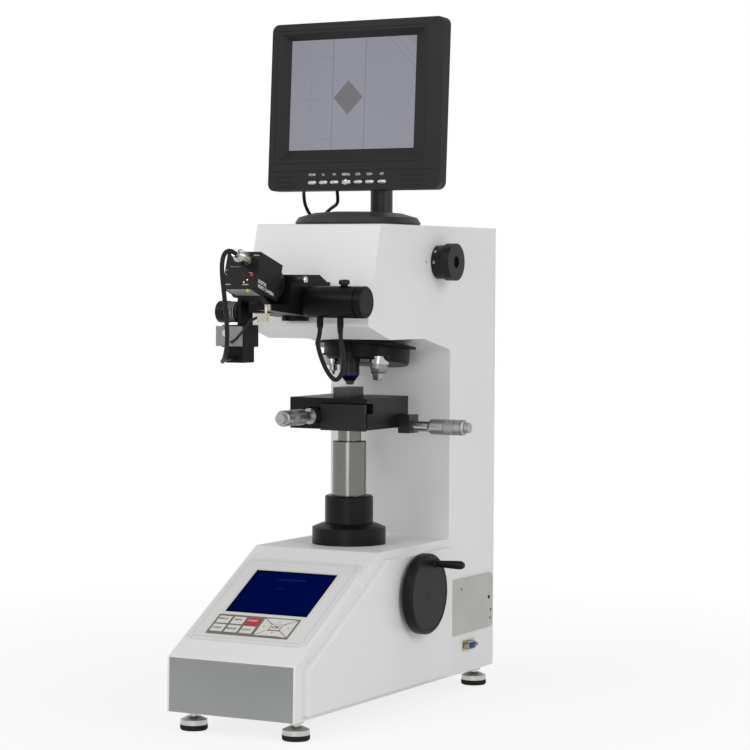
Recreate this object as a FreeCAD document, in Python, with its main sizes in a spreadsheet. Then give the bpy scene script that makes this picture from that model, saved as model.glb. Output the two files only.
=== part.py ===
import FreeCAD, Part
import math
import os
import re
import Sketcher
from FreeCAD import Placement, Rotation, Vector

# A micro hardness tester: a steel cabinet with a raised head, an XY stage on an
# elevating column, a turret with two objectives and an indenter, a camera and
# measuring eyepiece on a beam splitter, and a monitor standing on the head.
# The origin lies on the floor, midway between the four feet. X runs to the
# operator's right, Y to the back and Z up. Lengths are millimetres.

SIZES = {
    # cabinet
    "foot_height": 23.0,
    "cabinet_half_width": 79.5,
    "wall": 3.0,
    "lip_reach": 246.0,
    "lip_rise": 59.0,
    "deck_rise": 163.0,
    "slope_back_reach": 59.0,
    "column_front": 115.0,
    "ceiling_front": 47.0,
    "ridge_reach": 33.5,
    "nose_reach": 89.0,
    "brow_reach": 59.0,
    "ceiling_rise": 222.5,
    "underside_rise": 236.5,
    "nose_rise": 252.7,
    "head_rise": 366.0,
    "rear_reach": 237.0,
    "corner_round": 4.0,
    "panel_thick": 8.5,
    "panel_margin": 9.0,
    "panel_front_reach": 230.5,
    "panel_front_height": 76.0,
    "panel_rear": 108.0,
    # feet
    "foot_half_span_x": 64.0,
    "foot_half_span_y": 216.0,
    "foot_radius": 14.75,
    "foot_rubber": 6.0,
    "foot_stem_radius": 4.25,
    # console
    "plate_half_width": 73.0,
    "plate_start": 33.0,
    "plate_end": 186.0,
    "plate_thick": 2.5,
    "plate_round": 9.0,
    "window_half_width": 51.8,
    "window_start": 84.0,
    "window_end": 164.0,
    "window_depth": 8.0,
    "keypad_left": 54.0,
    "keypad_right": 48.0,
    "keypad_start": 43.0,
    "keypad_end": 78.0,
    "keypad_thick": 0.8,
    "key_height": 0.6,
    # elevating column
    "column_y": 16.0,
    "base_ring_radius": 42.4,
    "base_ring_height": 19.0,
    "collar_radius": 27.75,
    "collar_height": 55.5,
    "spigot_radius": 26.0,
    "spigot_depth": 26.0,
    "sleeve_radius": 19.55,
    "slide_gap": 0.3,
    "sleeve_bottom_rise": 26.0,
    "sleeve_top_rise": 118.5,
    "neck_radius": 13.6,
    "stage_rise": 134.0,
    "screw_radius": 6.0,
    "screw_length": 145.0,
    # bevel gears and handwheel
    "shaft_rise": 110.5,
    "gear_pitch_radius": 21.0,
    "pinion_pitch_radius": 14.0,
    "gear_teeth": 24.0,
    "pinion_teeth": 16.0,
    "face_share": 0.34,
    "tooth_backlash": 0.5,
    "gear_hub_radius": 11.0,
    "shelf_drop": 29.5,
    "shelf_thick": 8.0,
    "bracket_half_gap": 29.0,
    "bracket_thick": 4.0,
    "shaft_radius": 5.0,
    "bushing_radius": 10.0,
    "wheel_radius": 46.0,
    "wheel_back": 92.0,
    "wheel_thick": 13.7,
    "wheel_rim": 5.0,
    "wheel_recess": 3.2,
    "crank_radius_y": 13.4,
    "crank_radius_z": 33.4,
    "crank_length": 39.0,
    "crank_pin_radius": 2.0,
    # stage
    "stage_half": 50.0,
    "stage_base_thick": 9.0,
    "stage_middle_thick": 9.0,
    "stage_top_thick": 17.5,
    "stage_travel": 12.5,
    "mic_barrel_radius": 6.0,
    "mic_thimble_radius": 9.0,
    "mic_spindle_radius": 3.0,
    "x_mic_y": 52.0,
    "x_mic_rise": 1.5,
    "y_mic_x": 16.0,
    "y_mic_rise": 15.0,
    "thimble_length": 45.3,
    "ratchet_length": 5.5,
    "thimble_wall": 2.0,
    "barrel_length": 48.0,
    "x_block_thick": 14.5,
    "y_boss_length": 12.0,
    "specimen_half_x": 11.0,
    "specimen_half_y": 16.0,
    "specimen_height": 11.0,
    # turret
    "turret_tilt": 8.0,
    "station_radius": 40.0,
    "station_angle": 50.0,
    "turret_rise": 212.5,
    "turret_radius": 50.0,
    "turret_thick": 17.0,
    "flange_radius": 61.0,
    "flange_thick": 3.0,
    "turret_post_radius": 12.0,
    "turret_boss_radius": 12.0,
    "turret_boss_height": 3.0,
    "shank_radius": 7.0,
    "shank_length": 8.0,
    "main_objective_radius": 11.2,
    "main_objective_length": 26.5,
    "side_objective_length": 19.5,
    "indenter_length": 24.0,
    # optics
    "splitter_half_width": 25.0,
    "splitter_top": 495.0,
    "splitter_bottom": 448.0,
    "tongue_reach": 207.0,
    "tongue_top": 463.0,
    "camera_tilt": 17.0,
    "camera_half": 21.0,
    "camera_length": 46.8,
    "camera_y": -180.0,
    "camera_z": 485.5,
    "mount_ring_radius": 21.5,
    "mount_ring_length": 10.0,
    "mount_tube_radius": 17.0,
    "mount_tube_length": 8.0,
    "lamp_y": -129.0,
    "lamp_z": 465.5,
    "lamp_radius": 17.5,
    "lamp_end": 99.5,
    "rod_radius": 3.0,
    "rod_y": -152.0,
    "rod_z": 489.5,
    "rod_end": 38.0,
    "tongue_left": 8.0,
    "tube_radius": 11.0,
    "tube_y": -152.0,
    "tube_z": 480.0,
    "eyepiece_x": -40.0,
    "eyepiece_half": 14.0,
    "drum_radius": 12.0,
    "drum_y": -165.0,
    "drum_z": 454.0,
    "drum_pin_radius": 2.7,
    "case_height": 24.0,
    "foot_block_height": 17.0,
    # load mechanism
    "knob_y": 82.6,
    "knob_z": 510.5,
    "knob_drum_radius": 19.5,
    "knob_ring_radius": 21.5,
    "knob_length": 23.3,
    "cam_offset": 4.0,
    "lever_y": 60.0,
    "lever_z": 470.0,
    "lever_rear": 195.0,
    # monitor
    "monitor_y": 24.0,
    "monitor_rise": 137.8,
    "monitor_yaw": -4.3,
    "monitor_tilt": -2.9,
    "bezel_half_width": 117.5,
    "bezel_half_height": 97.5,
    "bezel_depth": 14.0,
    "bezel_round": 9.0,
    "screen_half_width": 85.45,
    "screen_half_height": 64.1,
    "screen_offset_x": -9.0,
    "screen_offset_z": 14.5,
    "screen_recess": 8.0,
    "back_depth": 26.0,
    "hinge_depth": 68.0,
    "key_row": -88.2,
    "key_half_length": 6.0,
    "key_half_height": 2.5,
    "key_proud": 1.2,
    "key_gap": 0.3,
    "base_radius": 72.5,
    "base_height": 15.6,
    "base_y": 34.0,
    "neck_tube_radius": 13.0,
    # rear equipment
    "printer_front": 118.0,
    "printer_rear": 230.0,
    "printer_bottom": 70.5,
    "printer_top": 136.0,
    "printer_proud": 2.5,
    "lead_diameter": 5.0,
}

# Places that follow from the sizes, each written once.
PLACES = {
    "cabinet_bottom": "foot_height",
    "deck_top": "foot_height + deck_rise",
    "lip_top": "foot_height + lip_rise",
    "ceiling_z": "deck_top + ceiling_rise",
    "underside_z": "deck_top + underside_rise",
    "nose_z": "deck_top + nose_rise",
    "head_top": "deck_top + head_rise",
    "inner_half_width": "cabinet_half_width - wall",
    "panel_face": "cabinet_half_width + panel_thick",
    "shaft_z": "foot_height + shaft_rise",
    "sleeve_bottom": "deck_top + sleeve_bottom_rise",
    "sleeve_top": "deck_top + sleeve_top_rise",
    "stage_bottom": "deck_top + stage_rise",
    "stage_middle_z": "stage_bottom + stage_base_thick",
    "stage_top_z": "stage_middle_z + stage_middle_thick",
    "table_z": "stage_top_z + stage_top_thick",
    "stage_front": "column_y - stage_half",
    "stage_back": "column_y + stage_half",
    "shelf_top": "shaft_z - shelf_drop",
    "x_mic_z": "stage_bottom + x_mic_rise",
    "y_mic_z": "stage_bottom + y_mic_rise",
    "wheel_front": "wheel_back + wheel_thick",
    "station_z": "deck_top + turret_rise",
    "monitor_z": "head_top + monitor_rise",
}

DOC = FreeCAD.newDocument("HardnessTester")
SHEET = DOC.addObject("Spreadsheet::Sheet", "Sizes")
PIECES = {}
TURNS = {
    "x": Rotation(Vector(0, 1, 0), 90),
    "y": Rotation(Vector(1, 0, 0), -90),
    "z": Rotation(),
}


def fill_sheet():
    """Put each driving size in the sheet, with its name as the alias."""
    for row, (name, size) in enumerate(SIZES.items(), 1):
        SHEET.set(f"A{row}", name)
        SHEET.set(f"B{row}", str(size))
        SHEET.setAlias(f"B{row}", name)
    DOC.recompute()


def bind(text):
    """Write a formula in terms of the cells of the sheet."""
    def swap(match):
        word = match.group()
        if word in PLACES:
            return "(" + bind(PLACES[word]) + ")"
        return "Sizes." + word if word in SIZES else word
    return re.sub(r"[a-z_]+", swap, str(text))


def value(text):
    """The number that a formula gives now."""
    return float(SHEET.evalExpression(bind(text)))


def stand(item, axis, centre, start=0):
    """Lay an item's own Z axis along an axis of the part, through a centre."""
    item.Placement = Placement(Vector(), TURNS[axis])
    spots = list(centre)
    spots.insert("xyz".index(axis), start)
    for name, spot in zip("xyz", spots):
        item.setExpression("Placement.Base." + name, bind(spot))
    return item


def box(label, x, y, z):
    """A block; x, y and z are each a pair, low and high."""
    item = DOC.addObject("Part::Box", label)
    for size, axis, (low, high) in zip(("Length", "Width", "Height"), "xyz", (x, y, z)):
        item.setExpression(size, bind(f"({high}) - ({low})"))
        item.setExpression("Placement.Base." + axis, bind(low))
    return item


def cylinder(label, axis, centre, radius, start, end):
    """A round bar along an axis, between two places on it."""
    item = DOC.addObject("Part::Cylinder", label)
    item.setExpression("Radius", bind(radius))
    item.setExpression("Height", bind(f"({end}) - ({start})"))
    return stand(item, axis, centre, start)


def wedge(label, y, near, far):
    """A block that tapers along Y; near and far are (x low, x high, z low, z high)."""
    item = DOC.addObject("Part::Wedge", label)
    names = ("Xmin", "Xmax", "Zmin", "Zmax", "X2min", "X2max", "Z2min", "Z2max", "Ymin", "Ymax")
    for name, text in zip(names, (*near, *far, *y)):
        item.setExpression(name, bind(text))
    return item


def outline(body, role, points):
    """A closed outline on a body's own plane, each corner tied to the sheet."""
    item = body.newObject("Sketcher::SketchObject", body.Name + "_outline")
    plane = next(part for part in body.Origin.OriginFeatures if part.Role == role)
    item.AttachmentSupport = [(plane, "")]
    item.MapMode = "FlatFace"
    corners = [Vector(value(across), value(along), 0) for across, along in points]
    for first, second in zip(corners, corners[1:] + corners[:1]):
        item.addGeometry(Part.LineSegment(first, second), False)
    for index, corner in enumerate(points):
        before = (index - 1) % len(points)
        item.addConstraint(Sketcher.Constraint("Coincident", before, 2, index, 1))
        for kind, text in zip(("DistanceX", "DistanceY"), corner):
            rule = Sketcher.Constraint(kind, -1, 1, index, 1, value(text))
            number = item.addConstraint(rule)
            item.setExpression(f"Constraints[{number}]", bind(text))
    return item


def prism(label, role, points, start, end):
    """An outline on an origin plane, padded between two places across it."""
    body = DOC.addObject("PartDesign::Body", label)
    profile = outline(body, role, points)
    pad = body.newObject("PartDesign::Pad", label + "_pad")
    pad.Profile = profile
    pad.setExpression("Length", bind(f"({end}) - ({start})"))
    axis, place = {"YZ_Plane": ("x", start), "XY_Plane": ("z", start), "XZ_Plane": ("y", end)}[role]
    body.setExpression("Placement.Base." + axis, bind(place))
    return body


def turned(label, axis, centre, profile):
    """A turned piece; the profile gives (radius, place along the axis)."""
    body = DOC.addObject("PartDesign::Body", label)
    section = outline(body, "XZ_Plane", profile)
    spin = body.newObject("PartDesign::Revolution", label + "_turn")
    spin.Profile = section
    spin.ReferenceAxis = (section, ["V_Axis"])
    spin.Angle = 360
    return stand(body, axis, centre)


def round_edges(body, radius, wanted):
    """Round the edges of a body's last feature that a test picks."""
    DOC.recompute()
    base = body.Tip
    edges = enumerate(base.Shape.Edges, 1)
    names = [f"Edge{number}" for number, edge in edges if wanted(edge)]
    item = body.newObject("PartDesign::Fillet", body.Name + "_round")
    item.Base = (base, names)
    item.setExpression("Radius", bind(radius))
    return body


def runs_along(axis):
    """A test for straight edges parallel to an axis."""
    def test(edge):
        if not isinstance(edge.Curve, Part.Line):
            return False
        return abs(edge.tangentAt(edge.FirstParameter).dot(axis)) > 0.999
    return test


def ring_of(radius):
    """A test for full circles of a radius."""
    size = value(radius)
    def test(edge):
        return isinstance(edge.Curve, Part.Circle) and abs(edge.Curve.Radius - size) < 0.01
    return test


def fuse(label, *items):
    """One solid made of several."""
    whole = DOC.addObject("Part::MultiFuse", label)
    whole.Shapes = list(items)
    return whole


def cut(label, base, *tools):
    """A solid less one or more others."""
    rest = DOC.addObject("Part::Cut", label)
    rest.Base = base
    rest.Tool = tools[0] if len(tools) == 1 else fuse(label + "_tools", *tools)
    return rest


def group(label, items):
    """Identical or paired solids that share one node."""
    whole = DOC.addObject("Part::Compound", label)
    whole.Links = list(items)
    return whole


def shape_item(label, shape):
    """A piece whose shape is made directly."""
    item = DOC.addObject("Part::Feature", label)
    item.Shape = shape
    return item


def set_place(item, place):
    """Place an item as part of an assembly, free of its own bound place."""
    for name in "xyz":
        item.setExpression("Placement.Base." + name, None)
    item.Placement = place


def drop(depth):
    """A move straight down an item's own axis."""
    return Placement(Vector(0, 0, -depth), Rotation())


def piece(name, item, place=None):
    """Name a finished piece, and place it where it isn't built in place."""
    item.Label = name
    if place is not None:
        set_place(item, place)
    PIECES[name] = item
    return item


# Cabinet

def cabinet_outline():
    """The side view of the cabinet: lip, slope, deck, column and head."""
    return [
        ("-lip_reach", "cabinet_bottom"),
        ("rear_reach", "cabinet_bottom"),
        ("rear_reach", "head_top"),
        ("-brow_reach", "head_top"),
        ("-nose_reach", "nose_z"),
        ("-ridge_reach", "underside_z"),
        ("ceiling_front", "underside_z"),
        ("column_front", "ceiling_z"),
        ("column_front", "deck_top"),
        ("-slope_back_reach", "deck_top"),
        ("-lip_reach + 1", "lip_top"),
    ]


def console_place():
    """The frame of the sloping console, at the middle of its lower edge."""
    run = value("lip_reach - slope_back_reach - 1")
    rise = value("deck_top - lip_top")
    angle = math.degrees(math.atan2(rise, run))
    corner = Vector(0, value("1 - lip_reach"), value("lip_top"))
    return Placement(corner, Rotation(Vector(1, 0, 0), angle))


def turret_place():
    """The frame of the turret: its lower face, at the pivot axis."""
    tilt = value("turret_tilt")
    reach = value("station_radius")
    back = value("column_y") + reach * math.cos(math.radians(tilt))
    height = value("station_z") - reach * math.sin(math.radians(tilt))
    return Placement(Vector(0, back, height), Rotation(Vector(1, 0, 0), -tilt))


def camera_place():
    """The frame of the camera: the middle of its front face, Y forward."""
    middle = Vector(0, value("camera_y"), value("camera_z"))
    return Placement(middle, Rotation(Vector(1, 0, 0), -value("camera_tilt")))


def monitor_place():
    """The frame of the monitor: the middle of its front face, Y to its back."""
    yaw = Rotation(Vector(0, 0, 1), value("monitor_yaw"))
    tilt = Rotation(Vector(1, 0, 0), value("monitor_tilt"))
    middle = Vector(0, value("monitor_y"), value("monitor_z"))
    return Placement(middle, yaw.multiply(tilt))


def cabinet_skin():
    """The sheet steel cabinet, open below and behind."""
    body = prism("cabinet_block", "YZ_Plane", cabinet_outline(),
                 "-cabinet_half_width", "cabinet_half_width")
    across = runs_along(Vector(1, 0, 0))
    rear = value("rear_reach") - 1
    floor = value("cabinet_bottom") + 1
    round_edges(body, "corner_round", lambda edge: across(edge)
                and edge.CenterOfMass.y < rear and edge.CenterOfMass.z > floor)
    DOC.recompute()
    base = body.Tip
    open_faces = []
    for number, face in enumerate(base.Shape.Faces, 1):
        middle = face.CenterOfMass
        if middle.y > rear or middle.z < floor:
            open_faces.append(f"Face{number}")
    shell = body.newObject("PartDesign::Thickness", "cabinet_shell")
    shell.Base = (base, open_faces)
    shell.setExpression("Value", bind("wall"))
    shell.Reversed = True
    shell.Join = 1
    return body


def cabinet():
    """Cabinet shell with its openings, covers and raised side panels."""
    skin = cabinet_skin()
    deck_hole = cylinder("deck_hole", "z", (0, "column_y"), "spigot_radius",
                         "deck_top - 2 * wall", "deck_top + 1")
    shaft_hole = cylinder("shaft_hole", "x", ("column_y", "shaft_z"), "bushing_radius",
                          "inner_half_width - 1", "cabinet_half_width + 1")
    knob_hole = cylinder("knob_hole", "x", ("knob_y", "knob_z"), "shaft_radius + slide_gap",
                         "inner_half_width - 1", "cabinet_half_width + 1")
    spindle_hole = cylinder("spindle_hole", "z", (0, "column_y"), "screw_radius",
                            "underside_z - 1", "underside_z + 2 * wall")
    window = box("window_hole", ("-window_half_width", "window_half_width"),
                 ("window_start", "window_end"), ("-3 * wall", 1))
    corner = Vector(-value("window_half_width"), value("window_start"), -3 * value("wall"))
    set_place(window, console_place().multiply(Placement(corner, Rotation())))
    post_hole = cylinder("post_hole", "z", (0, 0), "turret_post_radius", 0, 60)
    set_place(post_hole, turret_place())
    piece("main_housing", cut("main_housing", skin, deck_hole, shaft_hole, knob_hole,
                              spindle_hole, post_hole, window))
    piece("rear_cover", box("rear_cover", ("-inner_half_width", "inner_half_width"),
                            ("rear_reach - wall", "rear_reach"),
                            ("cabinet_bottom + wall", "head_top - wall")))
    plate = box("floor_sheet", ("-inner_half_width", "inner_half_width"),
                ("wall - lip_reach + 0.2", "rear_reach"), ("cabinet_bottom", "cabinet_bottom + wall"))
    holes = [cylinder("stem_hole", "z", spot, "foot_stem_radius", "cabinet_bottom - 1",
                      "cabinet_bottom + wall + 1") for spot in foot_spots()]
    piece("bottom_plate", cut("bottom_plate", plate, *holes))


def panel(label, start, end):
    """One raised side panel, a step inside the outline of the cabinet."""
    points = [
        ("-panel_front_reach", "cabinet_bottom + 6"),
        ("panel_rear", "cabinet_bottom + 6"),
        ("panel_rear", "deck_top - panel_margin"),
        ("12 - slope_back_reach", "deck_top - panel_margin"),
        ("-panel_front_reach", "panel_front_height"),
    ]
    return prism(label, "YZ_Plane", points, start, end)


def side_panels():
    """The two raised panels, the right one bored for the wheel shaft."""
    left = panel("left_panel", "-panel_face", "-cabinet_half_width")
    right = panel("right_blank", "cabinet_half_width", "panel_face")
    bore = cylinder("panel_bore", "x", ("column_y", "shaft_z"), "bushing_radius",
                    "cabinet_half_width - 1", "panel_face + 1")
    piece("side_panels", group("side_panels", [left, cut("right_panel", right, bore)]))


def foot_spots():
    """The four corners where the feet stand."""
    return [(side + "foot_half_span_x", end + "foot_half_span_y")
            for side in ("-", "") for end in ("-", "")]


def feet():
    """Levelling feet with threaded stems and lock nuts, on rubber pads."""
    metal = [
        (0, "foot_rubber"),
        ("foot_radius", "foot_rubber"),
        ("foot_radius", "foot_rubber + 5.5"),
        ("foot_stem_radius + 3", "foot_rubber + 9"),
        ("foot_stem_radius", "foot_rubber + 9"),
        ("foot_stem_radius", "foot_height - 5"),
        ("foot_stem_radius + 4", "foot_height - 5"),
        ("foot_stem_radius + 4", "foot_height"),
        ("foot_stem_radius", "foot_height"),
        ("foot_stem_radius", "foot_height + 10"),
        (0, "foot_height + 10"),
    ]
    rubber = [
        (0, 0),
        ("foot_radius - 1", 0),
        ("foot_radius + 0.4", 1.5),
        ("foot_radius + 0.4", "foot_rubber"),
        (0, "foot_rubber"),
    ]
    spots = foot_spots()
    piece("leveling_feet", group("leveling_feet", [turned("foot", "z", spot, metal) for spot in spots]))
    piece("foot_pads", group("foot_pads", [turned("pad", "z", spot, rubber) for spot in spots]))


def console():
    """Console plate with its display window and membrane keypad."""
    place = console_place()
    blank = prism("console_blank", "XY_Plane", [
        ("-plate_half_width", "plate_start"), ("plate_half_width", "plate_start"),
        ("plate_half_width", "plate_end"), ("-plate_half_width", "plate_end")], 0, "plate_thick")
    round_edges(blank, "plate_round", runs_along(Vector(0, 0, 1)))
    hole = box("console_hole", ("-window_half_width", "window_half_width"),
               ("window_start", "window_end"), (-1, "plate_thick + 1"))
    piece("console_faceplate", cut("console_faceplate", blank, hole), place)
    glass = prism("lcd_window", "XY_Plane", [
        ("-window_half_width", "window_start"), ("window_half_width", "window_start"),
        ("window_half_width", "window_end"), ("-window_half_width", "window_end")],
        "-window_depth", "plate_thick - 0.8")
    piece("lcd_window", glass, place.multiply(drop(value("window_depth"))))
    piece("keypad_overlay", keypad(), place)


def keypad():
    """A membrane with two rows of three keys and a four-way pad."""
    sheet = box("keypad_sheet", ("-keypad_left", "keypad_right"), ("keypad_start", "keypad_end"),
                ("plate_thick", "plate_thick + keypad_thick"))
    items = [sheet]
    top = "plate_thick + keypad_thick"
    for column in range(3):
        for row in range(2):
            left = f"-keypad_left + 3 + {column} * 18.5"
            near = f"keypad_start + 3.5 + {row} * 15"
            items.append(box("soft_key", (left, left + " + 15.5"), (near, near + " + 12.5"),
                             (top, top + " + key_height")))
    items.append(box("pad_middle", ("-keypad_left + 71", "-keypad_left + 87"),
                     ("keypad_start + 12.5", "keypad_start + 22.5"), (top, top + " + key_height")))
    for low, high in (("keypad_start + 2.5", "keypad_start + 10.5"),
                      ("keypad_start + 24.5", "keypad_start + 32.5")):
        items.append(box("pad_bar", ("-keypad_left + 67", "-keypad_left + 91"), (low, high),
                         (top, top + " + key_height")))
    for low, high in (("-keypad_left + 59.5", "-keypad_left + 68.5"),
                      ("-keypad_left + 89.5", "-keypad_left + 98.5")):
        items.append(box("pad_side", (low, high), ("keypad_start + 12.5", "keypad_start + 22.5"),
                         (top, top + " + key_height")))
    return fuse("keypad_overlay", *items)


# Elevating column

def column():
    """Fixed collar on the deck, and the steel sleeve that rises in it."""
    piece("column_collar", turned("column_collar", "z", (0, "column_y"), [
        ("sleeve_radius + slide_gap", "deck_top - spigot_depth"),
        ("spigot_radius", "deck_top - spigot_depth"),
        ("spigot_radius", "deck_top"),
        ("base_ring_radius", "deck_top"),
        ("base_ring_radius", "deck_top + base_ring_height"),
        ("collar_radius + 4", "deck_top + base_ring_height + 4.5"),
        ("collar_radius", "deck_top + base_ring_height + 4.5"),
        ("collar_radius", "deck_top + collar_height - 1.5"),
        ("collar_radius - 1.5", "deck_top + collar_height"),
        ("sleeve_radius + slide_gap", "deck_top + collar_height")]))
    piece("elevating_sleeve", turned("elevating_sleeve", "z", (0, "column_y"), [
        ("screw_radius", "sleeve_bottom"),
        ("sleeve_radius", "sleeve_bottom"),
        ("sleeve_radius", "sleeve_top - 1"),
        ("sleeve_radius - 1", "sleeve_top"),
        ("neck_radius", "sleeve_top"),
        ("neck_radius", "stage_bottom"),
        (0, "stage_bottom"),
        (0, "sleeve_bottom + 28"),
        ("screw_radius", "sleeve_bottom + 28")]))
    piece("elevating_screw", cylinder("elevating_screw", "z", (0, "column_y"), "screw_radius",
                                      "sleeve_bottom + 28 - screw_length", "sleeve_bottom + 28"))
    shelf = "shelf_top - shelf_thick"
    left, right = "-gear_pitch_radius - 7", "gear_pitch_radius + 7"
    near, far = "column_y - bracket_half_gap", "column_y + bracket_half_gap"
    frame = fuse("bracket_frame",
                 box("bracket_shelf", (left, right), (near, far), (shelf, "shelf_top")),
                 box("bracket_near", (left, right), (near + " - bracket_thick", near),
                     (shelf, "deck_top - wall")),
                 box("bracket_far", (left, right), (far, far + " + bracket_thick"),
                     (shelf, "deck_top - wall")))
    bore = cylinder("bracket_bore", "z", (0, "column_y"), "gear_hub_radius - 1.7",
                    shelf + " - 1", "shelf_top + 1")
    piece("drive_bracket", cut("drive_bracket", frame, bore))


def bevel_gear(teeth, radius, partner, first_angle):
    """A bevel gear with straight teeth; its apex is the origin and its axis is Z."""
    module = 2 * radius / teeth
    slant = math.hypot(radius, partner)
    along = Vector(radius / slant, 0, -partner / slant)
    outward = Vector(partner / slant, 0, radius / slant)
    tip, root = 0.85 * module, 1.1 * module
    half = (math.pi * module / 2 - value("tooth_backlash")) / 2
    lean = math.tan(math.radians(20))
    inner = 1 - value("face_share")

    def section(scale):
        middle = along * slant * scale
        rows = ((-root - 0.4, half + (root + 0.4) * lean), (tip, half - tip * lean))
        corners = []
        for side in (1, -1):
            for height, width in rows[::side]:
                corners.append(middle + outward * height * scale + Vector(0, side * width * scale, 0))
        return Part.makePolygon(corners + corners[:1])

    tooth = Part.makeLoft([section(1.0), section(inner)], True, True)
    turn = 360.0 / teeth
    ring = [tooth.rotated(Vector(), Vector(0, 0, 1), first_angle + index * turn)
            for index in range(int(teeth))]
    outer = along * slant - outward * root
    small = outer * inner
    return ring, outer, small


def gear_solid(blank_points, ring):
    """A turned gear blank joined with its teeth."""
    wire = Part.makePolygon([Vector(radius, 0, height) for radius, height in blank_points])
    blank = Part.Face(wire).revolve(Vector(), Vector(0, 0, 1), 360)
    return blank.multiFuse(ring).removeSplitter()


def drive_gears():
    """The nut gear that turns on the screw, and the pinion cut on the wheel shaft."""
    hub = value("gear_hub_radius")
    shelf = -value("shelf_drop")
    bore = value("screw_radius + slide_gap")
    ring, outer, small = bevel_gear(value("gear_teeth"), value("gear_pitch_radius"),
                                    value("pinion_pitch_radius"), 0)
    blank = [(bore, small.z), (small.x, small.z), (outer.x, outer.z), (outer.x, outer.z - 3),
             (hub, outer.z - 5), (hub, shelf), (hub - 2, shelf),
             (hub - 2, shelf - value("shelf_thick")), (bore, shelf - value("shelf_thick")),
             (bore, small.z)]
    apex = Vector(0, value("column_y"), value("shaft_z"))
    piece("lift_nut_gear", shape_item("lift_nut_gear", gear_solid(blank, ring)),
          Placement(apex, Rotation()))
    tip = value("wheel_front - wheel_recess + 2.5")
    half_turn = 180.0 / value("pinion_teeth")
    ring, outer, small = bevel_gear(value("pinion_teeth"), value("pinion_pitch_radius"),
                                    value("gear_pitch_radius"), half_turn)
    shaft = value("shaft_radius")
    blank = [(0, small.z), (small.x, small.z), (outer.x, outer.z), (outer.x, outer.z - 2),
             (shaft + 4, outer.z - 4), (shaft + 4, outer.z - 14), (shaft, outer.z - 14),
             (shaft, -tip), (0, -tip), (0, small.z)]
    piece("pinion_shaft", shape_item("pinion_shaft", gear_solid(blank, ring)),
          Placement(apex, Rotation(Vector(0, 1, 0), -90)))


def handwheel():
    """Shaft bushing, the handwheel and its revolving crank handle."""
    centre = ("column_y", "shaft_z")
    piece("shaft_bushing", turned("shaft_bushing", "x", centre, [
        ("shaft_radius + slide_gap", "inner_half_width - 8"),
        ("bushing_radius", "inner_half_width - 8"),
        ("bushing_radius", "panel_face"),
        ("bushing_radius + 4", "panel_face"),
        ("bushing_radius + 4", "panel_face + 3"),
        ("shaft_radius + slide_gap", "panel_face + 3")]))
    wheel = turned("wheel_disc", "x", centre, [
        ("shaft_radius", "wheel_back"),
        ("wheel_radius", "wheel_back"),
        ("wheel_radius", "wheel_front"),
        ("wheel_radius - wheel_rim", "wheel_front"),
        ("wheel_radius - wheel_rim", "wheel_front - wheel_recess"),
        ("shaft_radius + 4", "wheel_front - wheel_recess"),
        ("shaft_radius + 4", "wheel_front - wheel_recess + 2"),
        ("shaft_radius", "wheel_front - wheel_recess + 2")])
    round_edges(wheel, "0.7 * wheel_rim", ring_of("wheel_radius"))
    grip = ("column_y + crank_radius_y", "shaft_z + crank_radius_z")
    face = "wheel_front - wheel_recess"
    pin = cylinder("crank_pin", "x", grip, "crank_pin_radius", face + " - 4",
                   face + " + crank_length - 2")
    piece("handwheel", fuse("handwheel", wheel, pin))
    bore = "crank_pin_radius + slide_gap"
    handle = turned("crank_handle", "x", grip, [
        (bore, face + " + 0.4"),
        (4.6, face + " + 0.4"),
        (4.6, face + " + 3"),
        (3.75, face + " + 5"),
        (4.9, face + " + crank_length - 8"),
        (4.6, face + " + crank_length - 2.5"),
        (2.8, face + " + crank_length"),
        (0, face + " + crank_length"),
        (0, face + " + crank_length - 1.6"),
        (bore, face + " + crank_length - 1.6")])
    piece("crank_handle", handle)


# Stage

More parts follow.
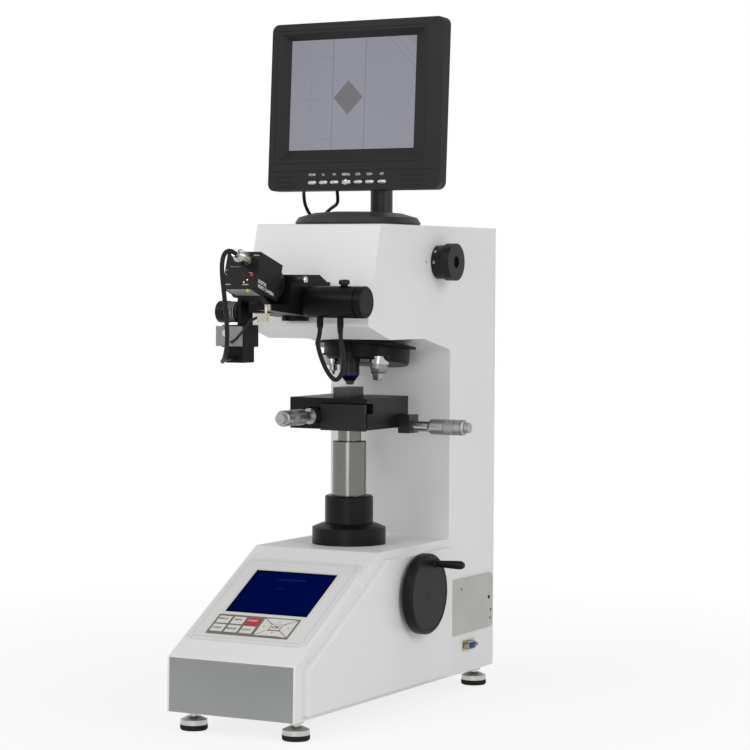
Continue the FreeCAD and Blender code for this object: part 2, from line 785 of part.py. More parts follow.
def stage_plates():
    """Base, middle and top plate of the XY stage."""
    sides = ("-stage_half", "stage_half")
    base = box("base_blank", sides, ("stage_front + 0.5", "stage_back"),
               ("stage_bottom", "stage_middle_z"))
    slot = box("lug_slot", ("9", "stage_half - 2"), ("x_mic_y - 5", "x_mic_y + 5"),
               ("stage_bottom - 1", "stage_middle_z + 1"))
    notch = box("spindle_notch", ("stage_half - 3", "stage_half + 1"),
                ("x_mic_y - 3.6", "x_mic_y + 3.6"), ("stage_bottom - 1", "x_mic_z + 3.6"))
    piece("stage_base", cut("stage_base", base, slot, notch))
    middle = box("middle_blank", sides, ("stage_front", "stage_back"),
                 ("stage_middle_z", "stage_top_z"))
    groove = box("middle_groove", ("-y_mic_x - 5", "-y_mic_x + 5"),
                 ("stage_front - 1", "stage_front + 36"), ("y_mic_z - 3.6", "stage_top_z + 1"))
    lug = box("middle_lug", ("24", "32"), ("x_mic_y - 4", "x_mic_y + 4"),
              ("x_mic_z - 2.5", "stage_middle_z"))
    block_room = box("block_room", ("stage_half - stage_travel - 0.5", "stage_half + 1"),
                     ("x_mic_y - 11.5", "x_mic_y + 12.5"), ("stage_middle_z - 1", "stage_top_z - 3"))
    piece("stage_middle", fuse("stage_middle", cut("middle_cut", middle, groove, block_room), lug))
    top = box("top_blank", sides, ("stage_front", "stage_back"), ("stage_top_z", "table_z"))
    round_notch = box("boss_notch", ("-y_mic_x - 9.5", "-y_mic_x + 9.5"),
                      ("stage_front - 1", "stage_front + 14"), ("stage_top_z - 1", "y_mic_z + 9.5"))
    block_notch = box("block_notch", ("-y_mic_x + 7.5", "stage_half + 1"),
                      ("stage_front - 1", "stage_front + 14"), ("stage_top_z - 1", "stage_top_z + 12"))
    push_lug = box("top_lug", ("-y_mic_x - 4", "-y_mic_x + 4"),
                   ("stage_front + 14", "stage_front + 22"), ("y_mic_z - 3", "stage_top_z + 1"))
    piece("stage_top", fuse("stage_top", cut("top_cut", top, round_notch, block_notch), push_lug))
    piece("specimen_block", box("specimen_block", ("-specimen_half_x", "specimen_half_x"),
                                ("column_y - 3 - specimen_half_y", "column_y - 3 + specimen_half_y"),
                                ("table_z", "table_z + specimen_height")))


def thimble(name, axis, centre, tip, mouth, sign):
    """A micrometer thimble with its spindle; sign is the way out from the stage."""
    def out(text):
        return f"({mouth}) {sign} ({text})"
    end = out("thimble_length")
    points = [
        (0, tip),
        ("mic_spindle_radius", tip),
        ("mic_spindle_radius", out("thimble_length - 5")),
        ("mic_barrel_radius + slide_gap", out("thimble_length - 5")),
        ("mic_barrel_radius + slide_gap", mouth),
        ("mic_barrel_radius + 1", mouth),
        ("mic_thimble_radius", out("3")),
        ("mic_thimble_radius", out("thimble_length - 1")),
        ("mic_thimble_radius - 1", end),
        ("mic_barrel_radius", end),
        ("mic_barrel_radius", out("thimble_length + ratchet_length")),
        (0, out("thimble_length + ratchet_length"))]
    piece(name, turned(name, axis, centre, points))


def micrometers():
    """The two micrometer heads, each on the plate below the one that it moves."""
    x_centre = ("x_mic_y", "x_mic_z")
    face = "stage_half + x_block_thick"
    block = fuse("x_mic_block",
                 box("x_block", ("stage_half", face), ("x_mic_y - 11", "x_mic_y + 12"),
                     ("x_mic_z - 8", "stage_top_z - 3.5")),
                 cylinder("x_barrel", "x", x_centre, "mic_barrel_radius", face,
                          face + " + barrel_length"))
    bore = cylinder("x_bore", "x", x_centre, "mic_spindle_radius + slide_gap", "stage_half - 1",
                    face + " + barrel_length + 1")
    piece("x_micrometer_body", cut("x_micrometer_body", block, bore))
    thimble("x_thimble", "x", x_centre, 32, face + " + 21.2", "+")
    y_centre = ("-y_mic_x", "y_mic_z")
    front = "stage_front - 4"
    boss_end = front + " - y_boss_length"
    body = fuse("y_mic_block",
                box("y_plate", ("-y_mic_x + 8", "stage_half - 1"), (front, "stage_front"),
                    ("stage_bottom - 1", "stage_top_z + 11")),
                cylinder("y_boss", "y", y_centre, "mic_thimble_radius", boss_end, "stage_front"),
                cylinder("y_barrel", "y", y_centre, "mic_barrel_radius",
                         boss_end + " - barrel_length + 12", boss_end))
    y_bore = cylinder("y_bore", "y", y_centre, "mic_spindle_radius + slide_gap",
                      boss_end + " - barrel_length + 11", "stage_front + 1")
    piece("y_micrometer_body", cut("y_micrometer_body", body, y_bore))
    thimble("y_thimble", "y", y_centre, "stage_front + 14", boss_end + " - 15", "-")


# Turret

def station_place(angle):
    """The frame of a turret station; Z is upright when it is in front."""
    swing = Placement(Vector(), Rotation(Vector(0, 0, 1), angle))
    reach = Placement(Vector(0, -value("station_radius"), 0), Rotation())
    upright = Placement(Vector(), Rotation(Vector(1, 0, 0), value("turret_tilt")))
    return turret_place().multiply(swing).multiply(reach).multiply(upright)


def turret():
    """The revolving turret on its tilted post, with three stations."""
    angle = value("station_angle")
    home = turret_place()
    bore = "turret_post_radius - 4"
    top = "turret_thick + flange_thick"
    disc = turned("turret_disc", "z", (0, 0), [
        (bore, 0), ("turret_radius - 2", 0), ("turret_radius", 2), ("turret_radius", top),
        (bore, top)])
    rim = cylinder("turret_rim", "z", (0, 0), "flange_radius", "turret_thick", top)
    trim = box("rim_trim", ("-flange_radius - 1", "flange_radius + 1"), (6, "flange_radius + 1"),
               ("turret_thick - 1", top + " + 1"))
    centre = cylinder("rim_bore", "z", (0, 0), bore, "turret_thick - 1", top + " + 1")
    flange = cut("turret_flange", rim, trim, centre)
    adds, holes = [disc, flange], []
    for number, swing in enumerate((-angle, 0, angle), 1):
        local = home.inverse().multiply(station_place(swing))
        boss = cylinder(f"station_boss_{number}", "z", (0, 0), "turret_boss_radius",
                        0, "turret_boss_height + 8")
        set_place(boss, local.multiply(drop(value("turret_boss_height"))))
        hole = cylinder(f"station_bore_{number}", "z", (0, 0), "shank_radius", 0, "shank_length + 1")
        set_place(hole, local.multiply(drop(value("turret_boss_height") + 1)))
        adds.append(boss)
        holes.append(hole)
    piece("turret_body", cut("turret_body", fuse("turret_blank", *adds), *holes), home)
    post = turned("turret_post", "z", (0, 0), [
        (0, 0.5),
        ("turret_post_radius - 4 - slide_gap", 0.5),
        ("turret_post_radius - 4 - slide_gap", "turret_thick + flange_thick + 0.5"),
        ("turret_post_radius", "turret_thick + flange_thick + 0.5"),
        ("turret_post_radius", 42),
        (0, 42)])
    piece("turret_post", post, home)
    optic("main_objective", 0, "main_objective_radius", "main_objective_length", 4.2, 15.5)
    optic("side_objective", angle, "main_objective_radius - 0.7", "side_objective_length", 5.0, 5.5)
    optic("indenter", -angle, 4.85, "indenter_length - 10", 1.2, 9.5)


def optic(name, swing, radius, length, tip_radius, straight):
    """An objective or the indenter, screwed into a station of the turret."""
    seat = value("turret_boss_height")
    wide, far = value(radius), value(length)
    points = [
        (0, -seat + value("shank_length")),
        ("shank_radius", -seat + value("shank_length")),
        ("shank_radius", -seat),
        (wide + 0.001 if wide > value("shank_radius") else value("shank_radius") + 1.5, -seat),
        (wide if wide > value("shank_radius") else value("shank_radius") + 1.5, -seat - 3),
        (wide, -seat - 3.5),
        (wide, -seat - straight),
        (tip_radius + 1.6, -seat - far + 4),
        (tip_radius, -seat - far),
        (0, -seat - far)]
    item = turned(name, "z", (0, 0), points)
    piece(name, item, station_place(swing))


# Optics

def splitter():
    """Beam splitter housing with its camera ring, bolted to the head, and the pull rod."""
    block = prism("splitter_block", "YZ_Plane", [
        (-168.5, "splitter_bottom + 5.4"),
        (-109, "splitter_bottom"),
        (-60, "splitter_bottom"),
        (-60, "splitter_top - 8"),
        (-83, "splitter_top - 8"),
        (-100, "splitter_top"),
        ("camera_y + 21", "splitter_top"),
        ("camera_y + 11.5", "tongue_top")], "-splitter_half_width", "splitter_half_width")
    tongue = prism("splitter_tongue", "YZ_Plane", [
        ("-tongue_reach", "splitter_bottom + 9"), (-160, "splitter_bottom + 4.7"),
        (-160, "tongue_top"), ("-tongue_reach", "tongue_top")], "tongue_left", "splitter_half_width")
    socket = box("lead_socket", ("splitter_half_width - 12", "splitter_half_width - 1"),
                 ("-tongue_reach - 7", "-tongue_reach"), ("splitter_bottom - 3.5", "splitter_bottom + 5.5"))
    pin = cylinder("socket_pin", "z", ("splitter_half_width - 5", "-tongue_reach - 0.5"), 1.5,
                   "splitter_bottom + 4", "splitter_bottom + 13")
    head = prism("head_solid", "YZ_Plane", cabinet_outline(), "-cabinet_half_width",
                 "cabinet_half_width")
    ring = turned("mount_ring", "y", (0, 0), [
        (0, 0), ("mount_ring_radius", 0), ("mount_ring_radius", "mount_ring_length"),
        ("mount_tube_radius", "mount_ring_length"),
        ("mount_tube_radius", "mount_ring_length + mount_tube_length"),
        (0, "mount_ring_length + mount_tube_length")])
    set_place(ring, camera_place().multiply(Placement(Vector(), TURNS["y"])))
    pan = cylinder("splitter_pan", "z", (0, -110), 15, "splitter_bottom - 4", "splitter_bottom + 2")
    bore = cylinder("rod_bore", "x", ("rod_y", "rod_z"), "rod_radius + slide_gap", -16,
                    "splitter_half_width + 1")
    piece("splitter_housing", cut("splitter_housing",
                                  fuse("splitter_body", block, tongue, ring, pan, socket, pin),
                                 head, bore))
    piece("beam_switch_rod", turned("beam_switch_rod", "x", ("rod_y", "rod_z"), [
        (0, -5), ("rod_radius", -5), ("rod_radius", "rod_end - 5"),
        ("rod_radius + 1.2", "rod_end - 5"), ("rod_radius + 1.2", "rod_end - 1"),
        ("rod_radius", "rod_end"), (0, "rod_end")]))


def camera():
    """Video camera behind the mount ring, with the signal connector at its back."""
    place = camera_place()
    body = prism("camera_block", "XZ_Plane", [
        ("-camera_half", "-camera_half"), ("camera_half", "-camera_half"),
        ("camera_half", "camera_half"), ("-camera_half", "camera_half")], "-camera_length", 0)
    round_edges(body, 1.5, runs_along(Vector(0, 1, 0)))
    piece("camera_body", body, place)
    plug = turned("camera_connector", "y", (7, 10), [
        (0, "-camera_length"), (6.2, "-camera_length"), (6.2, "-camera_length - 5"),
        (4.8, "-camera_length - 5"), (4.8, "-camera_length - 9"), (7.2, "-camera_length - 9"),
        (7.2, "-camera_length - 21"), (4, "-camera_length - 26"), (4, "-camera_length - 31"),
        (0, "-camera_length - 31")])
    piece("camera_connector", plug, place.multiply(Placement(Vector(7, 0, 10), TURNS["y"])))


def lamp():
    """Lamp housing on the right of the splitter, with thumbscrew and lead glands."""
    centre = ("lamp_y", "lamp_z")
    barrel = turned("lamp_barrel", "x", centre, [
        (0, "splitter_half_width"), ("lamp_radius - 1.5", "splitter_half_width"),
        ("lamp_radius - 1.5", "splitter_half_width + 6"), ("lamp_radius", "splitter_half_width + 6"),
        ("lamp_radius", "lamp_end - 9"), ("lamp_radius - 1", "lamp_end - 9"),
        ("lamp_radius - 1", "lamp_end - 7.5"), ("lamp_radius", "lamp_end - 7.5"),
        ("lamp_radius", "lamp_end - 1"), ("lamp_radius - 1", "lamp_end"), (0, "lamp_end")])
    items = [barrel]
    items.append(cylinder("thumbscrew", "z", (72, "lamp_y"), 4, "lamp_z + lamp_radius - 2",
                          "lamp_z + lamp_radius + 7"))
    for spot in (67.4, 42.1):
        items.append(cylinder("lamp_gland", "z", (spot, "lamp_y"), 3.6,
                              "lamp_z - lamp_radius - 8", "lamp_z - lamp_radius + 2"))
    piece("lamp_housing", fuse("lamp_housing", *items))


def eyepiece():
    """Measuring eyepiece below a side tube of the splitter, with its ribbed drum."""
    left, right = "eyepiece_x - eyepiece_half", "eyepiece_x + eyepiece_half"
    top = "drum_z - drum_radius - 2.5"
    cheek = "eyepiece_x + 4"
    items = [
        cylinder("side_tube", "x", ("tube_y", "tube_z"), "tube_radius", "eyepiece_x - 12",
                 "-splitter_half_width"),
        box("eyepiece_case", (left, right), ("drum_y - 12", "drum_y + 19"),
            (top + " - case_height", top)),
        box("eyepiece_cheek", (cheek, cheek + " + 4.5"), ("drum_y - 9", "drum_y + 16"),
            (top + " - 1", "tube_z")),
        cylinder("drum_pin", "x", ("drum_y", "drum_z"), "drum_pin_radius", "eyepiece_x - 22", cheek + " + 1"),
        box("eyepiece_foot", (left + " + 3", right + " - 3"), ("drum_y - 9", "drum_y + 15"),
            (top + " - case_height - foot_block_height", top + " - case_height + 1")),
    ]
    piece("eyepiece_body", fuse("eyepiece_body", *items))
    bore, thick = "drum_pin_radius + slide_gap", "drum_radius"
    drum = turned("eyepiece_drum", "x", ("drum_y", "drum_z"), [
        (bore, "eyepiece_x - 21"), (bore, cheek + " - slide_gap"),
        (thick + " - 1", cheek + " - slide_gap"), (thick + " - 1", "eyepiece_x - 8"),
        (thick, "eyepiece_x - 8"), (thick, "eyepiece_x - 23"), (thick + " - 1", "eyepiece_x - 24"),
        (0, "eyepiece_x - 24"), (0, "eyepiece_x - 22.4"), (bore, "eyepiece_x - 22.4")])
    piece("eyepiece_drum", drum)


# Load mechanism

def load_train():
    """Load selector with its cam, the loading lever, weights and spindle."""
    centre = ("knob_y", "knob_z")
    side = "cabinet_half_width + 0.3"
    far = side + " + knob_length"
    knob = turned("knob_and_shaft", "x", centre, [
        (0, -9), ("shaft_radius", -9), ("shaft_radius", side), ("knob_drum_radius", side),
        ("knob_drum_radius", side + " + 6.9"), ("knob_drum_radius - 3", side + " + 12.1"),
        ("knob_ring_radius", side + " + 12.1"), ("knob_ring_radius", far), ("6.85", far),
        ("6.85", far + " - 4"), (0, far + " - 4")])
    cam = cylinder("cam_disc", "x", ("knob_y", "knob_z - cam_offset"), "shaft_radius + 7", -8, 8)
    piece("load_knob", fuse("load_knob", knob, cam))
    beam = prism("lever_beam", "YZ_Plane", [
        ("column_y - 8", "lever_z - 5"), ("lever_rear", "lever_z - 5"),
        ("lever_rear", "lever_z + 5"), ("lever_y", "lever_z + 9"),
        ("column_y - 8", "lever_z + 5")], -7, 7)
    pivot = cylinder("lever_bore", "x", ("lever_y", "lever_z"), "4 + slide_gap", -8, 8)
    eye = cylinder("hanger_bore", "x", ("lever_rear - 8", "lever_z"), 2.5, -8, 8)
    piece("load_lever", cut("load_lever", beam, pivot, eye))
    cheeks = [box("lever_cheek", (low, high), ("lever_y - 11", "lever_y + 11"),
                  ("underside_z + wall + 12", "lever_z + 14")) for low, high in ((-12, -7.6), (7.6, 12))]
    seat = box("lever_seat", (-16, 16), ("lever_y - 13", "lever_y + 13"),
               ("underside_z + wall", "underside_z + wall + 12"))
    seat_hole = cylinder("seat_hole", "z", (0, 0), "turret_post_radius", -5, 44)
    set_place(seat_hole, turret_place())
    pin = cylinder("lever_pin", "x", ("lever_y", "lever_z"), 4, -14, 14)
    piece("lever_pedestal", fuse("lever_pedestal", *cheeks, cut("seat_cut", seat, seat_hole), pin))
    hang = "lever_rear - 8"
    rod = cylinder("hanger_rod", "z", (0, hang), 3, "lever_z - 95", "lever_z - 8")
    fork = box("hanger_fork", (-10, 10), (hang + " - 4", hang + " + 4"), ("lever_z - 12", "lever_z - 7"))
    ears = [box("hanger_ear", (low, high), (hang + " - 4", hang + " + 4"),
                ("lever_z - 8", "lever_z + 4")) for low, high in ((-10, -7.5), (7.5, 10))]
    hook = cylinder("hanger_pin", "x", (hang, "lever_z"), 2.5, -10, 10)
    plates = [cylinder("weight", "z", (0, hang), 32, f"lever_z - {low}", f"lever_z - {low} + 11")
              for low in (95, 83, 71)]
    piece("load_weights", fuse("load_weights", rod, fork, *ears, hook, *plates))
    piece("load_spindle", cylinder("load_spindle", "z", (0, "column_y"), "screw_radius - slide_gap",
                                   "underside_z - 0.5", "lever_z - 5.3"))


# Monitor

def monitor_shell():
    """Bezel with a sloped recess round the screen, and the tapered back."""
    blank = prism("bezel_blank", "XZ_Plane", [
        ("-bezel_half_width", "-bezel_half_height"), ("bezel_half_width", "-bezel_half_height"),
        ("bezel_half_width", "bezel_half_height"), ("-bezel_half_width", "bezel_half_height")],
        0, "bezel_depth")
    round_edges(blank, "bezel_round", runs_along(Vector(0, 1, 0)))
    left, right = "screen_offset_x - screen_half_width", "screen_offset_x + screen_half_width"
    low, high = "screen_offset_z - screen_half_height", "screen_offset_z + screen_half_height"
    screen = (left, right, low, high)
    outer = (left + " - 10", right + " + 17", low + " - 12.4", high + " + 7.4")
    recess = wedge("bezel_recess", ("-0.01", "screen_recess"), outer, screen)
    opening = box("screen_opening", (left, right), ("screen_recess - 1", "bezel_depth + 1"), (low, high))
    slots = [box("key_slot", (f"{spot} - key_half_length - key_gap", f"{spot} + key_half_length + key_gap"),
                 (-1, "bezel_depth + 1"),
                 ("key_row - key_half_height - key_gap", "key_row + key_half_height + key_gap"))
             for spot in key_spots()]
    place = monitor_place()
    piece("monitor_bezel", cut("monitor_bezel", blank, recess, opening, *slots), place)
    glass = box("monitor_screen", (left, right), ("screen_recess", "bezel_depth"), (low, high))
    corner = Vector(value(left), value("screen_recess"), value(low))
    piece("monitor_screen", glass, place.multiply(Placement(corner, Rotation())))
    width, height = "bezel_half_width - 3", "bezel_half_height - 3"
    back = wedge("back_block", ("bezel_depth", "bezel_depth + back_depth"),
                 ("-" + width.replace("- 3", "+ 3"), width, "-" + height.replace("- 3", "+ 3"), height),
                 ("-bezel_half_width + 24", "bezel_half_width - 24",
                  "-bezel_half_height + 22", "bezel_half_height - 22"))
    lugs = []
    for low, high in ((-19, -10.5), (10.5, 19)):
        lugs.append(box("hinge_lug", (low, high), ("bezel_depth + back_depth - 1", "hinge_depth + 9"),
                        (-9, 9)))
    bore = cylinder("hinge_bore", "x", ("hinge_depth", 0), "4 + slide_gap", -20, 20)
    piece("monitor_back", cut("monitor_back", fuse("back_body", back, *lugs), bore), place)


def key_spots():
    """The seven keys along the foot of the bezel, from its middle."""
    return (-55.2, -39.7, -24.5, -8.4, 8.1, 23.7, 40.3)


def monitor_keys():
    """Seven short push keys in the bezel."""
    place = monitor_place()
    for number, spot in enumerate(key_spots(), 1):
        name = f"monitor_key_{number}"
        item = box(name, (f"{spot} - key_half_length", f"{spot} + key_half_length"),
                   ("-key_proud", "bezel_depth - 2"),
                   ("key_row - key_half_height", "key_row + key_half_height"))
        corner = Vector(spot - value("key_half_length"), -value("key_proud"),
                        value("key_row - key_half_height"))
        piece(name, item, place.multiply(Placement(corner, Rotation())))


def monitor_stand():
    """Domed base on the head with its neck, which carries the tilt hinge."""
    dome = turned("stand_dome", "z", (0, "base_y"), [
        (0, "head_top"), ("base_radius - 1", "head_top"), ("base_radius", "head_top + 3"),
        ("base_radius - 4", "head_top + 9"), ("base_radius - 22", "head_top + base_height - 1.5"),
        ("base_radius - 40", "head_top + base_height"), (0, "head_top + base_height")])
    hinge = monitor_place().multVec(Vector(0, value("hinge_depth"), 0))
    tube = cylinder("neck_tube", "z", (0, hinge.y), "neck_tube_radius", "head_top + 4", hinge.z - 13)
    turn = Placement(hinge, Rotation(Vector(0, 0, 1), value("monitor_yaw")))
    block = box("neck_head", (-10, 10), (-10, 10), (-16, 12))
    set_place(block, turn.multiply(Placement(Vector(-10, -10, -16), Rotation())))
    pin = cylinder("hinge_pin", "x", (0, 0), 4, -22, 22)
    set_place(pin, turn.multiply(Placement(Vector(-22, 0, 0), TURNS["x"])))
    piece("monitor_stand", fuse("monitor_stand", dome, tube, block, pin))


# Rear equipment

def side_equipment():
    """Printer door and sockets on the right side of the column."""
    points = [("printer_front", "printer_bottom"), ("printer_rear", "printer_bottom"),
              ("printer_rear", "printer_top"), ("printer_front", "printer_top")]
    door = prism("printer_panel", "YZ_Plane", points, "cabinet_half_width",
                 "cabinet_half_width + printer_proud")
    rear = value("printer_rear") - 1
    straight = runs_along(Vector(1, 0, 0))
    round_edges(door, 7, lambda edge: straight(edge) and edge.CenterOfMass.y > rear)
    piece("printer_panel", door)
    side = "cabinet_half_width"
    flange = box("serial_flange", (side, side + " + 1"), (152.6, 183.4), (48.7, 61.3))
    plug = wedge("serial_shell", (159, 177), (side, side + " + 6", 50.5, 59.5),
                 (side, side + " + 6", 50.5, 59.5))
    piece("serial_port", fuse("serial_port", flange, plug))


# Leads

def lead_tube(name, diameter, points):
    """A tube along straight runs joined by arcs as large as the runs allow."""
    spots = [Vector(*point) for point in points]
    edges = []
    start = spots[0]
    radii = []
    for before, corner, after in zip(spots, spots[1:], spots[2:]):
        first, second = corner - before, after - corner
        turn = first.getAngle(second)
        setback = 0.45 * min(first.Length, second.Length)
        radius = setback / math.tan(turn / 2)
        radii.append(round(radius, 1))
        enter = corner - first.normalize() * setback
        leave = corner + second.normalize() * setback
        chord = (enter + leave) * 0.5
        inward = (chord - corner).normalize()
        half_chord = (enter - chord).Length
        middle = chord - inward * (radius - math.sqrt(radius ** 2 - half_chord ** 2))
        edges.append(Part.LineSegment(start, enter).toShape())
        edges.append(Part.Arc(enter, middle, leave).toShape())
        start = leave
    edges.append(Part.LineSegment(start, spots[-1]).toShape())
    path = Part.Wire(edges)
    direction = (spots[1] - spots[0]).normalize()
    ring = Part.Wire([Part.makeCircle(diameter / 2, spots[0], direction)])
    tube = path.makePipeShell([ring], True, True)
    expected = math.pi * diameter ** 2 / 4 * path.Length
    print(name, "radii", radii, "length", round(path.Length, 1),
          "volume ratio", round(tube.Volume / expected, 4))
    return tube


def leads():
    """The leads of the lamp, camera, measuring eyepiece and monitor."""
    size = value("lead_diameter")
    y = value("lamp_y")
    low = value("lamp_z - lamp_radius - 8")
    piece("lamp_lead", shape_item("lamp_lead", lead_tube("lamp_lead", size, [
        (67.4, y, low), (67.4, y, 425), (72.6, y, 406), (70.6, y, 388), (62, y, 378.5),
        (52, y, 388), (44, y, 403), (38.5, y, 420), (42.1, y, 431), (42.1, y, low)])))
    plug = camera_place().multVec(Vector(7, -value("camera_length") - 31, 10))
    piece("camera_lead", shape_item("camera_lead", lead_tube("camera_lead", size, [
        tuple(plug), (6.8, plug.y - 11, plug.z + 3.4), (3, -272, 515), (0.5, -274, 499),
        (3, -271, 474), (5, -266, 446), (2, -257, 421), (-12, -240, 404.5), (-30, -216, 400.5),
        (-40, -192, 404), (-40, -174, 404)])))
    piece("eyepiece_lead", shape_item("eyepiece_lead", lead_tube("eyepiece_lead", 3, [
        (12.8, -210.5, 449.5), (5, -210.5, 447.5), (-4, -206, 440.5), (-16, -199, 431.5),
        (-30, -190, 423), (-39.6, -184.5, 421), (-40, -177, 421)])))
    top = value("head_top")
    pair = [
        lead_tube("monitor_power_lead", 4, [
            (-74.5, 38, 591.6), (-74.6, 38.6, 581), (-74.4, 46, 570.5), (-74.0, 57.3, 562),
            (-74, 57.5, top)]),
        lead_tube("monitor_video_lead", 4, [
            (-31, 40, 591.5), (-33, 46, 582), (-41, 57, 577), (-53, 66, 573.5), (-66.1, 70.8, 565.5),
            (-66.3, 71, top)])]
    piece("monitor_leads", group("monitor_leads", [shape_item("monitor_lead", tube) for tube in pair]))


def check_and_write():
    """Stop on any failed object; else write each piece to its own file."""
    DOC.recompute()
    for item in DOC.Objects:
        if "Invalid" in item.State or "Error" in item.State:
            raise RuntimeError(f"{item.Label} did not build")
    for name, item in PIECES.items():
        if item.Shape.isNull() or not item.Shape.isValid():
            raise RuntimeError(f"{name} is not a valid solid")
    os.makedirs("parts", exist_ok=True)
    for name, item in PIECES.items():
        item.Shape.exportStep(f"parts/{name}.step")
        bounds = item.Shape.BoundBox
        print(f"{name}: {len(item.Shape.Solids)} solid, volume {item.Shape.Volume:.0f}, "
              f"z {bounds.ZMin:.1f} to {bounds.ZMax:.1f}")


fill_sheet()
cabinet()
side_panels()
feet()
console()
column()
drive_gears()
handwheel()
stage_plates()
micrometers()
turret()
splitter()
camera()
lamp()
eyepiece()
load_train()
monitor_shell()
monitor_keys()
monitor_stand()
side_equipment()
leads()
check_and_write()
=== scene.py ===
# %% [markdown]
# # A micro hardness tester
# The tester presses a diamond into a polished block under a small weight, then a turret swings a
# microscope over the dent, and a camera shows it on the monitor. Every working piece was drawn
# as a solid first and arrives here in metres, so nothing below moves or rescales one. This file
# gives each of them its finish, and adds the small forms that are easier to shape as meshes.

# %% Bring in the solids and note how much room they take
import math

import bmesh
import bpy
from mathutils import Matrix, Vector


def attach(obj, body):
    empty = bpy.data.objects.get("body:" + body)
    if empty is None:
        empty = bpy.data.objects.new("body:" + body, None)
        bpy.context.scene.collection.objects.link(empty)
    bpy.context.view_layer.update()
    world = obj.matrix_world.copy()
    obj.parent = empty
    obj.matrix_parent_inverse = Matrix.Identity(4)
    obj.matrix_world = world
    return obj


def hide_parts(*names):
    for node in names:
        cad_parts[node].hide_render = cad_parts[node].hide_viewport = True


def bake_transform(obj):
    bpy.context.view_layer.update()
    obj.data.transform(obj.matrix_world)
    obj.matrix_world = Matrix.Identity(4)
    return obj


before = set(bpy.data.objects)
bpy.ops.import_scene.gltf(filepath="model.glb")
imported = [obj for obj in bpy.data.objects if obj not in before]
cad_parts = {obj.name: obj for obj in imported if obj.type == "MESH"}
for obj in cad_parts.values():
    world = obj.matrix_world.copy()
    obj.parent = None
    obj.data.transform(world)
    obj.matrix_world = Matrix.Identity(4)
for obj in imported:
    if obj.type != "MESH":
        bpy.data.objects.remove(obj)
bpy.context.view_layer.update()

# %% [markdown]
# ## Where the picture was taken from
# The photograph was taken from a few metres away with a long lens, so upright edges stay nearly
# parallel. The three directions below were worked out from the corners of the housing and of the
# monitor. A camera looks down its own -Z axis, which is why its third column is the view turned
# round.

# %% The camera
LENS_MM, SENSOR_MM, SIGHT_M = 122.75, 36.0, 60.0
view_from = Vector((1.412, -2.5637, 0.4961))
view_right = Vector((0.8818, 0.4716, 0.0056)).normalized()
view_ahead = Vector((-0.4711, 0.8812, -0.0394)).normalized()
view_up = view_right.cross(view_ahead).normalized()


def placed(name, data):
    """A new object that shows this data, linked to the scene."""
    made = bpy.data.objects.new(name, data)
    bpy.context.scene.collection.objects.link(made)
    return made


camera_data = bpy.data.cameras.new("viewpoint")
camera_data.lens, camera_data.sensor_width, camera_data.clip_end = LENS_MM, SENSOR_MM, SIGHT_M
camera = placed("viewpoint", camera_data)
turn = Matrix((view_right, view_up, -view_ahead)).transposed().to_4x4()
camera.matrix_world = Matrix.Translation(view_from) @ turn
bpy.context.scene.camera = camera
print("camera stands", round(view_from.length, 2), "m from the middle of the base")

# %% [markdown]
# ## The leads
# Five thin sheathed leads join the lamp, the camera, the measuring eyepiece and the monitor to the
# housing. Each one is a short length of flexible wire that leaves its gland straight, sags, and
# turns back into the housing. A smooth spline pulled along by a handful of control points behaves
# like that by itself, so the points below are the only shape they need. The two under the monitor
# have one end on it, and it tilts: those become mesh tubes.

# %% Draw one lead from its control points
lead_finish = bpy.data.materials.new("lead_sheath")


def sheathed_lead(name, points, diameter):
    curve = bpy.data.curves.new(name, "CURVE")
    curve.materials.append(lead_finish)
    curve.dimensions = "3D"
    curve.bevel_depth = diameter / 2
    curve.bevel_resolution = 5
    curve.resolution_u = 16
    curve.use_fill_caps = True
    spline = curve.splines.new("NURBS")
    spline.points.add(len(points) - 1)
    for knot, place in zip(spline.points, points):
        knot.co = (*(v / 1000 for v in place), 1)
    spline.order_u = 3
    spline.use_endpoint_u = True
    return placed(name, curve)


print("the leads' finish:", lead_finish.name)

# %% The five leads, with points in millimetres
lead_routes = {
    "lead_of_lamp": ("lamp_lead", 0.005, 0.131, [
        (67.4, -129, 440), (67.4, -129, 425), (72.6, -129, 406), (70.6, -129, 388),
        (62, -129, 378.5), (52, -129, 388), (44, -129, 403), (38.5, -129, 420),
        (42.1, -129, 431), (42.1, -129, 440)]),
    "lead_of_camera": ("camera_lead", 0.005, 0.219, [
        (7, -251.48, 517.81), (6.8, -262.48, 521.21), (5, -271.5, 515), (4, -272.5, 499),
        (5.5, -269.5, 474), (6, -265, 446), (2, -257, 421), (-12, -240, 404.5),
        (-30, -216, 400.5), (-40, -192, 404), (-40, -174, 404)]),
    "lead_of_eyepiece": ("eyepiece_lead", 0.003, 0.0736, [
        (12.8, -210.5, 449.5), (5, -210.5, 447.5), (-4, -206, 440.5), (-16, -199, 431.5),
        (-30, -190, 423), (-39.6, -184.5, 421), (-40, -177, 421)]),
    "lead_of_power": ("monitor_leads", 0.004, 0.0466, [
        (-74.5, 38, 591.6), (-74.6, 38.6, 581), (-74.4, 46, 570.5), (-74, 57.3, 562),
        (-74, 57.5, 552)]),
    "lead_of_picture": ("monitor_leads", 0.004, 0.0691, [
        (-31, 40, 591.5), (-33, 46, 582), (-41, 57, 577), (-53, 66, 573.5),
        (-66.1, 70.8, 565.5), (-66.3, 71, 552)]),
}
print("control points:", sum(len(route[-1]) for route in lead_routes.values()))

